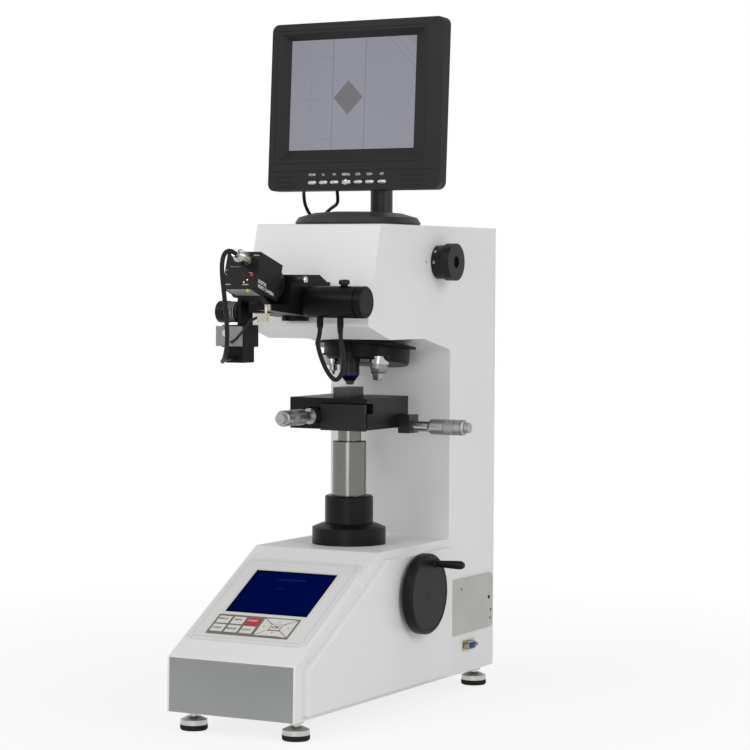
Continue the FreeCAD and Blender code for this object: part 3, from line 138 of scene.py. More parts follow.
# %% Hang the leads, the monitor's two as tubes
def as_tube(lead):
    """The same lead as a mesh, and the points of its centre line."""
    name, line = lead.name, lead.data
    graph = bpy.context.evaluated_depsgraph_get()
    tube = bpy.data.meshes.new_from_object(lead.evaluated_get(graph))
    line.bevel_depth = 0
    line.use_fill_caps = False
    graph.update()
    thread = bpy.data.meshes.new_from_object(lead.evaluated_get(graph))
    path = [tuple(vert.co) for vert in thread.vertices]
    bpy.data.objects.remove(lead)
    bpy.data.curves.remove(line)
    bpy.data.meshes.remove(thread)
    tube.materials.clear()
    tube.materials.append(lead_finish)
    tube.shade_smooth()
    return placed(name, tube), path


for name, (node, diameter, length, points) in lead_routes.items():
    lead, path = sheathed_lead(name, points, diameter), None
    if node == "monitor_leads":
        lead, path = as_tube(lead)
        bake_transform(lead)
    else:
        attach(lead, "cabinet")
    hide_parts(node)
print("leads drawn:", ", ".join(lead_routes))

# %% [markdown]
# ## Writing finishes as sums
# A painted or machined surface is a few patterns added, multiplied and clipped. Those sums read
# best as plain arithmetic, so a small class wraps a socket and turns each operator into a Math
# node. Everything else, such as a noise or a bump, comes from one method that makes a node,
# gives it its settings first and then its values and links.

# %% Sockets that can be added and multiplied
class Signal:
    def __init__(self, recipe, socket):
        self.recipe, self.socket = recipe, socket

    def sum_of(self, operation, *values, clamp=False):
        return self.recipe.node("ShaderNodeMath", {"operation": operation, "use_clamp": clamp},
                                dict(enumerate(values)))

    def __add__(self, other): return self.sum_of("ADD", self, other)
    def __radd__(self, other): return self.sum_of("ADD", other, self)
    def __sub__(self, other): return self.sum_of("SUBTRACT", self, other)
    def __rsub__(self, other): return self.sum_of("SUBTRACT", other, self)
    def __mul__(self, other): return self.sum_of("MULTIPLY", self, other)
    def __rmul__(self, other): return self.sum_of("MULTIPLY", other, self)
    def __truediv__(self, other): return self.sum_of("DIVIDE", self, other)
    def __gt__(self, other): return self.sum_of("GREATER_THAN", self, other)
    def __lt__(self, other): return self.sum_of("LESS_THAN", self, other)
    def __abs__(self): return self.sum_of("ABSOLUTE", self)

    def clipped(self): return self.sum_of("ADD", self, 0.0, clamp=True)
    def fraction(self): return self.sum_of("FRACT", self)
    def sine(self): return self.sum_of("SINE", self)
    def root(self): return self.sum_of("SQRT", self)
    def highest(self, other): return self.sum_of("MAXIMUM", self, other)
    def angle_to(self, other): return self.sum_of("ARCTAN2", self, other)


print("sockets can be added and multiplied")

# %% Masks, which are 1 in one place and 0 everywhere else
def between(value, low, high):
    return (value > low) * (value < high)


def near(value, middle, reach):
    return abs(value - middle) < reach


def dashed(value, per_unit, share):
    """Repeats per_unit times a unit and is 1 on the first share of each repeat."""
    return (value * per_unit).fraction() < share


def any_of(first, *others):
    for other in others:
        first = first.highest(other)
    return first


def off_axis(first, second):
    """How far a point is from an axis, from its two distances across it."""
    return (first * first + second * second).root()


def colour(*rgb, times=1.0):
    """Three numbers for a colour, or one for a grey."""
    return (*(v * times for v in (rgb if len(rgb) == 3 else rgb * 3)), 1.0)


print("masks are ready, and white is", colour(1))

# %% A recipe holds one material, or the world, while its nodes are laid out
class Recipe:
    def __init__(self, name, owner=None):
        self.owner = owner or bpy.data.materials.get(name) or bpy.data.materials.new(name)
        self.owner.use_nodes = True
        self.tree = self.owner.node_tree
        self.tree.nodes.clear()
        self.place = self.node("ShaderNodeTexCoord", {}, {}, out="Object")

    def node(self, kind, settings, sockets, out=0):
        made = self.tree.nodes.new(kind)
        for name, value in settings.items():
            setattr(made, name, value)
        for name, value in sockets.items():
            if isinstance(value, Signal):
                self.tree.links.new(value.socket, made.inputs[name])
            else:
                made.inputs[name].default_value = value
        return Signal(self, made.outputs[out])

    def axes(self):
        """The three object coordinates in metres, each as its own signal."""
        return [self.node("ShaderNodeSeparateXYZ", {}, {"Vector": self.place}, out=axis)
                for axis in "XYZ"]

    def along(self, direction, origin=(0, 0, 0)):
        """Millimetres along a direction, from an origin that is in millimetres too."""
        metres = self.node("ShaderNodeVectorMath", {"operation": "DOT_PRODUCT"},
                           {0: self.place, 1: tuple(direction)}, out="Value")
        return metres * 1000 - Vector(direction).dot(Vector(origin))

    def grain(self, size_mm, detail=3.0, stretch=None):
        """Noise from 0 to 1 whose blotches are about size_mm across."""
        spot = self.place
        if stretch:
            spot = self.node("ShaderNodeMapping", {},
                             {"Vector": spot, "Scale": tuple(1 / v for v in stretch)})
        return self.node("ShaderNodeTexNoise", {},
                         {"Vector": spot, "Scale": 1000 / size_mm, "Detail": detail})

    def blend(self, factor, first, second):
        return self.node("ShaderNodeMix", {"data_type": "RGBA"},
                         {"Factor": factor, 6: first, 7: second}, out=2)

    def relief(self, height, depth_mm):
        return self.node("ShaderNodeBump", {},
                         {"Height": height, "Distance": depth_mm / 1000, "Strength": 1.0})

    def rays(self):
        """1 on a ray from the camera, on one from a mirror, and on one through glass."""
        return [self.node("ShaderNodeLightPath", {}, {}, out=f"Is {kind} Ray")
                for kind in ("Camera", "Glossy", "Transmission")]

    def surface(self, **sockets):
        """Ends the recipe. Words are the shader's sockets with _ for a space."""
        named = {key.replace("_", " "): value for key, value in sockets.items()}
        return self.ends_in(self.node("ShaderNodeBsdfPrincipled", {}, named))

    def ends_in(self, shader, kind="ShaderNodeOutputMaterial"):
        end = self.tree.nodes.new(kind)
        self.tree.links.new(shader.socket, end.inputs["Surface"])
        return self.owner


print("recipes are ready")

# %% [markdown]
# ## Sheet metal paint
# The cabinet is bent steel sheet with a baked powder coat. Seen close, such paint has a faint
# orange peel about a millimetre across, and over a whole side its shade drifts a little. Two
# noises of very different size do both: the small one bends the normal and the large one tints.
# The low front face is a darker grey, lighter towards the bottom, and a test on the object's
# own coordinates says where.

# %% Powder coat, used for the cabinet and its side panels
CLOUD_MM, PEEL_MM, DUST_MM, DRIFT = 140, 1.1, 7, 0.97
HOUSING_WHITE, PANEL_WHITE, LIP_GREY = (0.80, 0.80, 0.80), (0.79, 0.79, 0.79), (0.235, 0.24, 0.24)
LIP_FRONT, LIP_SIDE, LIP_FOOT = -0.2443, 0.0772, 0.020
FADE_FROM, FADE_PER_M = 0.03, 14
PANEL_FACE = 0.0789


def coat(recipe, base, roughness, peel_depth):
    """The drift over a side, the paint's colour, and the sockets that its peel gives."""
    cloud, peel = recipe.grain(CLOUD_MM, 2), recipe.grain(PEEL_MM, 2)
    dust = recipe.grain(DUST_MM, 4)
    tint = recipe.blend((cloud * 1.6 - 0.3).clipped(), colour(*base, times=DRIFT), colour(*base))
    return cloud, tint, {"Roughness": roughness + (dust - 0.5) * 0.10,
                         "Normal": recipe.relief(peel, peel_depth)}


def plain_coat(name, base):
    recipe = Recipe(name)
    _, tint, peel = coat(recipe, base, 0.42, 0.035)
    return recipe.surface(Base_Color=tint, **peel)


def two_tone_coat(name, base, lip):
    """The housing's coat, with a mid grey band across the low front face, lighter at its bottom."""
    recipe = Recipe(name)
    x, y, z = recipe.axes()
    band = (y < LIP_FRONT) * (abs(x) < LIP_SIDE) * (z > LIP_FOOT)
    cloud, tint, peel = coat(recipe, base, 0.42, 0.035)
    fade = ((z - FADE_FROM) * FADE_PER_M + (cloud - 0.5)).clipped()
    grey = recipe.blend(fade, colour(*lip, times=1.25), colour(*lip))
    return recipe.surface(Base_Color=recipe.blend(band, tint, grey), **peel)


def edged_coat(name, base):
    """The applied panels' smoother coat, with painted shade: a little darker on the forward cut
    edge.
    """
    recipe = Recipe(name)
    x, y, z = recipe.axes()
    # painted shade: the panel's edge faces, away from its outer face, get a dark grey tint
    edge = (abs(x) < PANEL_FACE) * 0.45
    _, tint, peel = coat(recipe, base, 0.36, 0.02)
    return recipe.surface(Base_Color=recipe.blend(edge, tint, colour(0.30, 0.30, 0.31)), **peel)


cabinet_paint = two_tone_coat("cabinet_paint", HOUSING_WHITE, LIP_GREY)
plain_paint = plain_coat("plain_paint", HOUSING_WHITE)
panel_paint = edged_coat("panel_paint", PANEL_WHITE)
print("paints:", cabinet_paint.name, plain_paint.name, panel_paint.name)

# %% [markdown]
# ## Black metal
# The stage, the turret and the camera are dark anodised aluminium or blackened steel. None is a
# pure black: light catches the fine tooth left by bead blasting, and handled places are a little
# smoother. Some pieces have a place that differs, such as a printed word or a bare pin, so a
# finish may come with marks: each is a mask, a colour and how metallic it is.

# %% Blackened and anodised metal
def black_metal(name, base, roughness=0.42, tooth_mm=0.5, tooth_depth=0.02, shine=0.13,
                marks=None):
    """Black metal; marks(recipe) gives (mask, colour, metallic) for each place that differs."""
    recipe = Recipe(name)
    tooth, hands = recipe.grain(tooth_mm), recipe.grain(26)
    shade = recipe.blend(hands, colour(base, base, base * 1.05),
                         colour(base * 1.7, base * 1.7, base * 1.75))
    bare = 0.0
    for mask, tint, metallic in marks(recipe) if marks else ():
        shade = recipe.blend(mask, shade, colour(*tint))
        bare = bare * (1 - mask) + mask * metallic
    return recipe.surface(Base_Color=shade, Metallic=bare, Specular_IOR_Level=shine,
                          Roughness=roughness - 0.07 + hands * 0.14 - bare * 0.14,
                          Normal=recipe.relief(tooth, tooth_depth))


black_anodised = black_metal("black_anodised", 0.0042)
black_satin = black_metal("black_satin", 0.004, 0.36, tooth_depth=0.01, shine=0.16)
black_rubber = black_metal("black_rubber", 0.008, 0.72, 0.9, 0.05, 0.2)
knob_plastic = black_metal("knob_plastic", 0.006, 0.4, 0.8, shine=0.25)
stage_black = black_metal("stage_black", 0.0065, 0.34, tooth_depth=0.008, shine=0.14)
wheel_plastic = black_metal("wheel_plastic", 0.007, 0.4, 0.8, 0.01, 0.14)
black_metal("lead_sheath", 0.006, 0.45, 2.0, 0.01, 0.2)
print("dark finishes: 6, and the leads are sheathed")

# %% [markdown]
# ## Bright metal
# Ground, turned and plated steel differ by the marks of the tool. On a turned piece the marks
# are rings round its axis, so the noise is squeezed along the axis and stretched round it: with
# one squeezed direction the streaks lie in planes across the axis, which is what a lathe leaves.

# %% Turned or ground metal with streaks across one axis
ACROSS_X, ACROSS_Z = (0.03, 1, 1), (1, 1, 0.02)


def bright_metal(name, base, roughness, squeeze=ACROSS_Z, streak_mm=9.0, depth=0.012,
                 metallic=1.0):
    recipe = Recipe(name)
    streaks, haze = recipe.grain(streak_mm, 5, squeeze), recipe.grain(18)
    shade = recipe.blend((streaks * 1.5 - 0.25).clipped(), colour(*base, times=0.82),
                         colour(*base))
    rough = roughness + (streaks - 0.5) * 0.14 + (haze - 0.5) * 0.08
    return recipe.surface(Base_Color=shade, Roughness=rough, Metallic=metallic,
                          Normal=recipe.relief(streaks, depth))


column_steel = bright_metal("column_steel", (0.20, 0.20, 0.19), 0.2, (1, 1, 0.06), 14, 0.0015)
gear_steel = bright_metal("gear_steel", (0.45, 0.45, 0.46), 0.35)
bearing_bronze = bright_metal("bearing_bronze", (0.55, 0.36, 0.16), 0.33, ACROSS_X)
foot_nickel = bright_metal("foot_nickel", (0.62, 0.61, 0.58), 0.3)
specimen_steel = bright_metal("specimen_steel", (0.10, 0.10, 0.10), 0.3, (1, 0.03, 1), 9, 0.004)
nickel_small = bright_metal("nickel_small", (0.48, 0.47, 0.42), 0.24, (1, 0.05, 1), 3)
print("bright finishes: 6")

# %% [markdown]
# ## Which finish goes on which solid
# The solids keep their shape and their place, and only their material slots change.

# %% Hand the finishes out
def dress(material, *nodes):
    for node in nodes:
        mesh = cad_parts[node].data
        mesh.materials.clear()
        mesh.materials.append(material)
        for face in mesh.polygons:
            face.material_index = 0


dress(cabinet_paint, "main_housing")
dress(plain_paint, "rear_cover", "bottom_plate")
dress(panel_paint, "side_panels")
dress(foot_nickel, "leveling_feet")
dress(black_rubber, "foot_pads")
dress(black_satin, "column_collar", "turret_post", "load_lever", "lever_pedestal")
dress(gear_steel, "drive_bracket", "pinion_shaft", "lift_nut_gear", "elevating_screw",
      "load_spindle", "load_weights")
dress(bearing_bronze, "shaft_bushing")
dress(column_steel, "elevating_sleeve")
dress(stage_black, "stage_base", "stage_middle", "stage_top")
dress(black_anodised, "eyepiece_body")
dress(wheel_plastic, "handwheel", "crank_handle")
dress(specimen_steel, "specimen_block")
dress(nickel_small, "camera_connector")
dress(knob_plastic, "load_knob", "eyepiece_drum")
print("dressed the metal and plastic solids")

# %% [markdown]
# ## Micrometer heads
# A micrometer head is a black mounting block, a plain sleeve with a scale, and a thimble with
# graduations round its edge, a diamond knurl for the fingers and a small ratchet stop. The
# knurl is two sets of spiral waves that cross, so it needs only the angle round the axis and the
# distance along it.

# %% Sleeve, thimble and knurl
INK = colour(0.03)
GRADUATIONS, KNURL_ROUND, KNURL_PER_MM, RATCHET_TEETH = 50, 34, 2.3, 20
DATUM_ANGLE = 0.9


def round_an_axis(recipe, along, centre):
    """Distance in mm along a head's axis from the centre point, and the angle round it."""
    x, y, z = recipe.axes()
    if along == "x":
        distance, first = x - centre[0], y - centre[1]
    else:
        distance, first = centre[1] - y, x - centre[0]
    return distance * 1000, (z - centre[2]).angle_to(first)


def ticks(angle, count, share):
    """Lines round an axis. The 100 only keeps the number above zero."""
    return (angle * (count / (2 * math.pi)) + 100).fraction() < share


def thimble_finish(name, along, start):
    recipe = Recipe(name)
    away, angle = round_an_axis(recipe, along, start)
    marks = ticks(angle, GRADUATIONS, 0.16) * between(away, 0.3, 4.5)
    fifth = ticks(angle, GRADUATIONS / 5, 0.034) * between(away, 0.3, 7)
    spiral, pitch = angle * KNURL_ROUND, away * KNURL_PER_MM
    knurl = abs((spiral + pitch).sine()) * abs((spiral - pitch).sine())
    gripped = between(away, 21, 33)
    ratchet = abs((angle * RATCHET_TEETH).sine()) * between(away, 42, 48.6)
    groove = any_of(near(away, 20.4, 0.35), near(away, 33.6, 0.35), near(away, 41.5, 0.4))
    haze = recipe.grain(5)
    steel = recipe.blend(haze, colour(0.36, 0.36, 0.37), colour(0.46, 0.46, 0.47))
    # painted shade: the three grooves are tinted six tenths of the way to the ink colour
    inked = recipe.blend((marks.highest(fifth) * 0.85).highest(groove * 0.6), steel, INK)
    height = knurl * gripped + ratchet * 0.8 - groove
    return recipe.surface(Base_Color=inked, Roughness=0.32 + haze * 0.08 + gripped * 0.12,
                          Metallic=1.0, Normal=recipe.relief(height, 0.11))


def block_and_sleeve(name, along, start, block_end):
    """Black up to block_end mm along the head, and bright with a scale beyond it."""
    recipe = Recipe(name)
    away, angle = round_an_axis(recipe, along, start)
    bright = away > block_end
    scale = away - block_end + 60
    datum = near(angle, DATUM_ANGLE, 0.025)
    whole = dashed(scale, 1, 0.16) * between(angle, DATUM_ANGLE, 1.25)
    half = dashed(scale + 0.5, 1, 0.16) * between(angle, 0.62, DATUM_ANGLE)
    haze, tooth = recipe.grain(5), recipe.grain(0.5)
    steel = recipe.blend(haze, colour(0.38, 0.38, 0.39), colour(0.46, 0.46, 0.47))
    inked = recipe.blend(any_of(datum, whole, half) * 0.8, steel, INK)
    black = recipe.blend(haze, colour(0.007), colour(0.012, 0.012, 0.013))
    return recipe.surface(Base_Color=recipe.blend(bright, black, inked), Metallic=bright,
                          Roughness=0.42 - bright * 0.14 + (haze - 0.5) * 0.08,
                          Specular_IOR_Level=0.32, Normal=recipe.relief(tooth, 0.012))


heads = {"x": ((0.0857, 0.052, 0.3215), -21.2), "y": ((-0.016, -0.065, 0.335), -15.0)}
for along, (mouth, block_end) in heads.items():
    dress(thimble_finish(f"{along}_thimble_finish", along, mouth), f"{along}_thimble")
    dress(block_and_sleeve(f"{along}_head_body", along, mouth, block_end),
          f"{along}_micrometer_body")
print("micrometer finishes:", 2 * len(heads))

# %% [markdown]
# ## Objectives and diamond
# The turret carries three tools. The measuring objective is a black barrel with a navy ring that
# stands for its magnification, and its nose is bare steel. The other objective is satin grey, and
# the diamond holder is plain steel. Bands across a barrel depend on height alone.

# %% Barrels with bands
def banded_barrel(name, base, metallic, roughness, bands):
    """Each band is (low mm, high mm, colour, metallic) measured above the floor."""
    recipe = Recipe(name)
    height, haze = recipe.along((0, 0, 1)), recipe.grain(4)
    shade = recipe.blend(haze, colour(*base, times=0.85), colour(*base))
    for low, high, tint, metal in bands:
        here = between(height, low, high)
        shade = recipe.blend(here, shade, colour(*tint))
        metallic = metallic * (1 - here) + here * metal
    ring = abs((height * 1.4).sine()) * 0.3
    return recipe.surface(Base_Color=shade, Metallic=metallic, Roughness=roughness + haze * 0.08,
                          Specular_IOR_Level=0.25, Normal=recipe.relief(ring + haze * 0.2, 0.03))


STEEL, NAVY = (0.5, 0.5, 0.5), (0.006, 0.014, 0.075)
dress(banded_barrel("measuring_objective", (0.006, 0.006, 0.007), 0.0, 0.3,
                    [(360, 374.2, STEEL, 1.0), (379.2, 383.4, NAVY, 0.0)]), "main_objective")
dress(banded_barrel("sighting_objective", (0.30, 0.30, 0.31), 0.7, 0.3,
                    [(360, 381, STEEL, 1.0), (383, 384, NAVY, 0.0)]), "side_objective")
dress(banded_barrel("diamond_holder", (0.42, 0.42, 0.43), 1.0, 0.25, []), "indenter")
print("turret tools: 3")

# %% [markdown]
# ## The control console
# A printed plate lies in the slope of the base. It is off-white with a fine double border, and
# holds a blue display and a grey keypad. Border lines are ink, so they belong in the material:
# the slope's own across and up coordinates say how far a point is from the plate's edge.

# %% The console's own directions
SLOPE = math.radians(29.2)
console_up = Vector((0, math.cos(SLOPE), math.sin(SLOPE)))
console_out = Vector((0, -math.sin(SLOPE), math.cos(SLOPE)))
console_foot = Vector((0, -245, 82))


def seat(origin, across, out):
    """A matrix that takes millimetres on a piece to metres in the frame."""
    across, out = Vector(across).normalized(), Vector(out).normalized()
    up = out.cross(across)
    turned = Matrix((across, up, out)).transposed().to_4x4()
    return Matrix.Translation(Vector(origin) / 1000) @ turned @ Matrix.Scale(0.001, 4)


console_seat = seat(console_foot, (1, 0, 0), console_out)
print("console slope in degrees:", round(math.degrees(SLOPE), 1))

# %% Ink lines and the printed film
def slope_axes(recipe):
    return recipe.along((1, 0, 0)), recipe.along(console_up, console_foot)


def frame_line(across, up, half_width, low, high, corner, thickness):
    """1 on a rounded rectangle's outline of that thickness, all in mm."""
    middle, half = (low + high) / 2, (high - low) / 2
    dx = (abs(across) - (half_width - corner)).highest(0)
    dy = (abs(up - middle) - (half - corner)).highest(0)
    inner = (abs(across) - half_width).highest(abs(up - middle) - half)
    return abs((off_axis(dx, dy) - corner).highest(inner)) < thickness / 2


def console_film():
    recipe = Recipe("console_film")
    across, up = slope_axes(recipe)
    border = frame_line(across, up, 69.0, 37.0, 182.0, 4.0, 0.5)
    inner = frame_line(across, up, 67.2, 38.8, 180.2, 3.0, 0.35) * 0.7
    window = frame_line(across, up, 53.6, 82.2, 165.8, 2.0, 0.4)
    paper = recipe.blend(recipe.grain(60, 2), colour(0.70, 0.70, 0.685),
                         colour(0.73, 0.73, 0.715))
    ink = recipe.blend(any_of(border, inner, window) * 0.75, paper, colour(0.40, 0.41, 0.41))
    weave = recipe.grain(0.45, 2)
    return recipe.surface(Base_Color=ink, Roughness=0.38 + weave * 0.1,
                          Normal=recipe.relief(weave, 0.012))


dress(console_film(), "console_faceplate")
print("the console's film is printed")

# %% The display glass and the membrane
PAD_ACROSS, PAD_UP, PAD_HALF, OK_HALF = 25.6, 60.7, (20.6, 15.2), (6.4, 5.2)
KEY_TOP = 3.62


def display_glass():
    recipe = Recipe("display_glass")
    across, up = slope_axes(recipe)
    inside = (abs(across) < 47.5) * between(up, 89, 159.5)
    dots = ((across * 2.2).fraction() > 0.12) * ((up * 2.2).fraction() > 0.12)
    glow = recipe.grain(80, 1)
    blue = recipe.blend(glow, colour(0.0002, 0.003, 0.052), colour(0.0002, 0.004, 0.068))
    title = near(up, 149, 1.9) * (abs(across) < 18) * dashed(across, 0.31, 0.55)
    value = near(up, 132, 1.1) * near(across, -6, 5) * dashed(across, 0.45, 0.6)
    blue = recipe.blend(title.highest(value) * 0.3, blue, colour(0.02, 0.05, 0.16))
    lit = recipe.blend(inside * (0.75 + dots * 0.25), colour(0.0003, 0.003, 0.030), blue)
    return recipe.surface(Base_Color=lit, Roughness=0.3 + glow * 0.05, Emission_Color=lit,
                          Emission_Strength=0.12, Specular_IOR_Level=0.0)


def membrane():
    """A grey sheet whose raised keys are printed cream, and one of them red."""
    recipe = Recipe("keypad_membrane")
    across, up = slope_axes(recipe)
    raised = recipe.along(console_out, console_foot) > KEY_TOP
    red_key = between(across, -17.2, 2.4) * (up > 60.5)
    aside, above = abs(across - PAD_ACROSS), abs(up - PAD_UP)
    pad = (aside < PAD_HALF[0]) * (above < PAD_HALF[1])
    outside = (aside > OK_HALF[0]).highest(above > OK_HALF[1])
    spokes = (abs(above * PAD_HALF[0] - aside * PAD_HALF[1]) < 15.0) * outside
    middle = abs((aside - OK_HALF[0]).highest(above - OK_HALF[1])) < 0.6
    keys = (raised.highest(pad) * (1 - pad * spokes.highest(middle) * 0.9)).clipped()
    fine, wear = recipe.grain(0.4, 2), recipe.grain(20, 2)
    cream = recipe.blend(wear, colour(0.66, 0.64, 0.59), colour(0.72, 0.70, 0.65))
    printed = recipe.blend(red_key, cream, colour(0.50, 0.012, 0.02))
    sheet = recipe.blend(wear, colour(0.13), colour(0.16))
    return recipe.surface(Base_Color=recipe.blend(keys, sheet, printed),
                          Roughness=0.4 + fine * 0.12, Normal=recipe.relief(fine, 0.01))


dress(display_glass(), "lcd_window")
dress(membrane(), "keypad_overlay")
print("console finishes are on")

# %% [markdown]
# ## Shaping small pieces
# The next cells all build meshes in the same way: start a bmesh from a simple shape in
# millimetres, round its edges, move it to its seat, and turn it into an object that rides on a
# body of the machine. A few helpers keep that short.

# %% From a bmesh to a finished piece
def finished(name, shape, place, material, body="cabinet", smooth_deg=35):
    bmesh.ops.remove_doubles(shape, verts=shape.verts, dist=0.0005)
    bmesh.ops.recalc_face_normals(shape, faces=shape.faces)
    if shape.calc_volume(signed=True) < 0:
        bmesh.ops.reverse_faces(shape, faces=shape.faces)
    bmesh.ops.transform(shape, matrix=place, verts=shape.verts)
    mesh = bpy.data.meshes.new(name)
    shape.to_mesh(mesh)
    shape.free()
    mesh.shade_smooth()
    mesh.set_sharp_from_angle(angle=math.radians(smooth_deg))
    mesh.materials.append(material)
    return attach(placed(name, mesh), body)


def add_slab(shape, centre, size, rounding, segments=3):
    """A block with every edge rounded."""
    place = Matrix.Translation(centre) @ Matrix.Diagonal((*size, 1))
    made = bmesh.ops.create_cube(shape, size=1.0, matrix=place)
    edges = list({edge for vert in made["verts"] for edge in vert.link_edges})
    bmesh.ops.bevel(shape, geom=edges, offset=rounding, offset_type="OFFSET", affect="EDGES",
                    segments=segments, profile=0.5, material=-1)


def add_turned(shape, profile, centre=(0, 0), steps=24):
    """Spins (radius, height) pairs round the local Z axis at a centre."""
    cx, cy = centre
    verts = [shape.verts.new((cx + radius, cy, height)) for radius, height in profile]
    edges = [shape.edges.new(pair) for pair in zip(verts, verts[1:])]
    bmesh.ops.spin(shape, geom=verts + edges, cent=(cx, cy, 0), axis=(0, 0, 1),
                   angle=2 * math.pi, steps=steps, use_merge=True)


def slab_piece(name, centre, size, rounding, place, material):
    shape = bmesh.new()
    add_slab(shape, centre, size, rounding)
    return finished(name, shape, place, material)


def turned_piece(name, profile, centres, steps, place, material, body="cabinet"):
    """One piece that has the same turned shape at every centre."""
    shape = bmesh.new()
    for centre in centres:
        add_turned(shape, profile, centre, steps)
    return finished(name, shape, place, material, body)


print("helpers: finished, add_slab, add_turned, slab_piece, turned_piece")

# %% [markdown]
# ## The monitor
# The monitor is a small flat set in charcoal plastic. Its picture is the dent seen through the
# microscope: a dark diamond on a ground grey surface, between two measuring lines. It glows, so
# the same pattern drives the colour and the emission. The monitor is turned a little and leans
# back, so the pattern is worked out in the monitor's own across and up directions.

# %% The monitor's own directions
MONITOR_YAW, MONITOR_LEAN = math.radians(-4.3), math.radians(-2.9)
monitor_turn = Matrix.Rotation(MONITOR_YAW, 3, "Z") @ Matrix.Rotation(MONITOR_LEAN, 3, "X")
monitor_across = monitor_turn @ Vector((1, 0, 0))
monitor_out = monitor_turn @ Vector((0, -1, 0))
monitor_upward = monitor_turn @ Vector((0, 0, 1))
monitor_middle = Vector((0, 24, 689.8))


def monitor_axes(recipe):
    """Across and up on the monitor's front, in mm from its middle."""
    return (recipe.along(monitor_across, monitor_middle),
            recipe.along(monitor_upward, monitor_middle))


print("monitor front faces", [round(v, 3) for v in monitor_out])

# %% The picture of the dent
DENT_HALF = 20.5


def dent_picture():
    recipe = Recipe("dent_picture")
    across, up = monitor_axes(recipe)
    across, up = across + 9, up - 14.5
    spot = abs(across + 5.5) + abs(up + 4.0)
    dent = ((DENT_HALF - spot) * 0.9).clipped()
    lines = any_of(near(across, -27, 0.3), near(across, 17.5, 0.3))
    cross = any_of(near(across, -57, 0.25) * near(up, -5, 20),
                   near(up, -5, 0.25) * near(across, -57, 18))
    marks = near(across, -37, 9) * any_of(near(up, 43, 0.3), near(up, -52, 0.3))
    corner = across + up
    reticle = any_of(near(corner, 112, 0.9), near(corner, 122, 0.7), (corner > 136) * 0.6)
    cloud, speck = recipe.grain(190, 1), recipe.grain(1.2, 2)
    ground = recipe.blend(cloud, colour(0.245, 0.245, 0.30), colour(0.33, 0.33, 0.39))
    grainy = recipe.blend(speck * 0.12, ground, colour(0.22, 0.22, 0.25))
    with_dent = recipe.blend(dent * 0.95, grainy, colour(0.155, 0.155, 0.16))
    ink = any_of(lines * 0.75, cross * 0.35, marks * 0.4, reticle * 0.22)
    picture = recipe.blend(ink, with_dent, colour(0.09, 0.09, 0.12))
    return recipe.surface(Base_Color=colour(0.02), Roughness=0.22, Emission_Color=picture,
                          Emission_Strength=0.85, Specular_IOR_Level=0.3)


dress(dent_picture(), "monitor_screen")
print("the dent is", 2 * DENT_HALF, "mm across on the screen")

# %% Moulded plastic
def leathery(recipe, darker, lighter):
    """Plastic's fine leather grain, and a colour that drifts between two."""
    leather = recipe.grain(0.6)
    return leather, recipe.blend(recipe.grain(45, 2), darker, lighter)


def moulded_plastic(name, base=0.013, roughness=0.46, shine=0.22):
    recipe = Recipe(name)
    tint = base if isinstance(base, tuple) else (base, base, base * 1.03)
    leather, tone = leathery(recipe, colour(*tint), colour(*(min(1.0, v * 1.3) for v in tint)))
    return recipe.surface(Base_Color=tone, Roughness=roughness + (leather - 0.5) * 0.12,
                          Specular_IOR_Level=shine, Normal=recipe.relief(leather, 0.02))


dress(moulded_plastic("charcoal_plastic"), "monitor_back")
dress(moulded_plastic("stand_plastic", 0.024, 0.42, 0.42), "monitor_stand")
silver_lacquer = bright_metal("silver_lacquer", (0.62, 0.62, 0.64), 0.3, None, 4, 0.005, 0.6)
print("monitor finishes are on")

# %% [markdown]
# The front moulding has a fine groove round the picture and a step above the keys. Two speakers
# sound through short slits: three rows of small ones on the left, and three long lines on the
# right. All of them are shallow cuts: a bump shapes them and painted shade darkens them.

# %% Groove, step and speaker slits
SPEAKER_ROWS, SLITS_START, SLIT_PITCH = (-81.3, -87.3, -93.2), -105.5, 3.02


def front_moulding():
    recipe = Recipe("front_moulding")
    across, up = monitor_axes(recipe)
    groove = frame_line(across + 7, up - 12.0, 102.4, -77.1, 77.1, 3.0, 0.9)
    step = near(up, -74.6, 0.45) * (abs(across) < 114)
    rows = any_of(*(near(up, row, 1.0) for row in SPEAKER_ROWS))
    slits = rows * between(across, SLITS_START, -81.4) * (
        ((across - SLITS_START) / SLIT_PITCH).fraction() < 0.62)
    lines = rows * between(across, 68.4, 95.5) * 0.5
    cut = any_of(slits, lines, groove, step * 0.8)
    leather, tone = leathery(recipe, colour(0.013, 0.013, 0.0135), colour(0.0175, 0.0175, 0.018))
    # painted shade: the slits, speaker lines, groove and step are darkened to near black
    shade = recipe.blend(cut * 0.85, tone, colour(0.003))
    return recipe.surface(Base_Color=shade, Roughness=0.46 + (leather - 0.5) * 0.12,
                          Specular_IOR_Level=0.24,
                          Normal=recipe.relief(leather * 0.05 - cut, 0.4))


dress(front_moulding(), "monitor_bezel")
print("the front moulding is on")

# %% [markdown]
# Each key is a little silver cushion that slides in a slot of the moulding, so a block whose
# edges are rounded almost to the middle gives its shape. The menu key in the middle carries a
# turned button instead. The caps sit on the CAD keys' places and travel with them.

# %% Seven keycaps
KEY_ROW, LEGEND_ROW, MENU_KEY = -88.2, -79.3, 4
monitor_seat = seat(monitor_middle, monitor_across, monitor_out)
key_places = (-55.2, -39.7, -24.5, -8.4, 8.1, 23.7, 40.3)
for number, across in enumerate(key_places, 1):
    cap = bmesh.new()
    if number == MENU_KEY:
        add_slab(cap, (across, KEY_ROW, -5.6), (11.9, 4.9, 12.0), 1.2)
        add_turned(cap, [(0, 0.9), (3.3, 0.9), (3.5, 1.2), (2.9, 1.9), (1.4, 2.3), (0, 2.4)],
                   (across, KEY_ROW), 48)
    else:
        add_slab(cap, (across, KEY_ROW, -5.2), (11.9, 4.9, 13.6), 2.3, 5)
    piece = finished(f"keycap_{number}", cap, monitor_seat, silver_lacquer, f"key_{number}")
    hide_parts(f"monitor_key_{number}")
print("keycaps:", len(key_places))

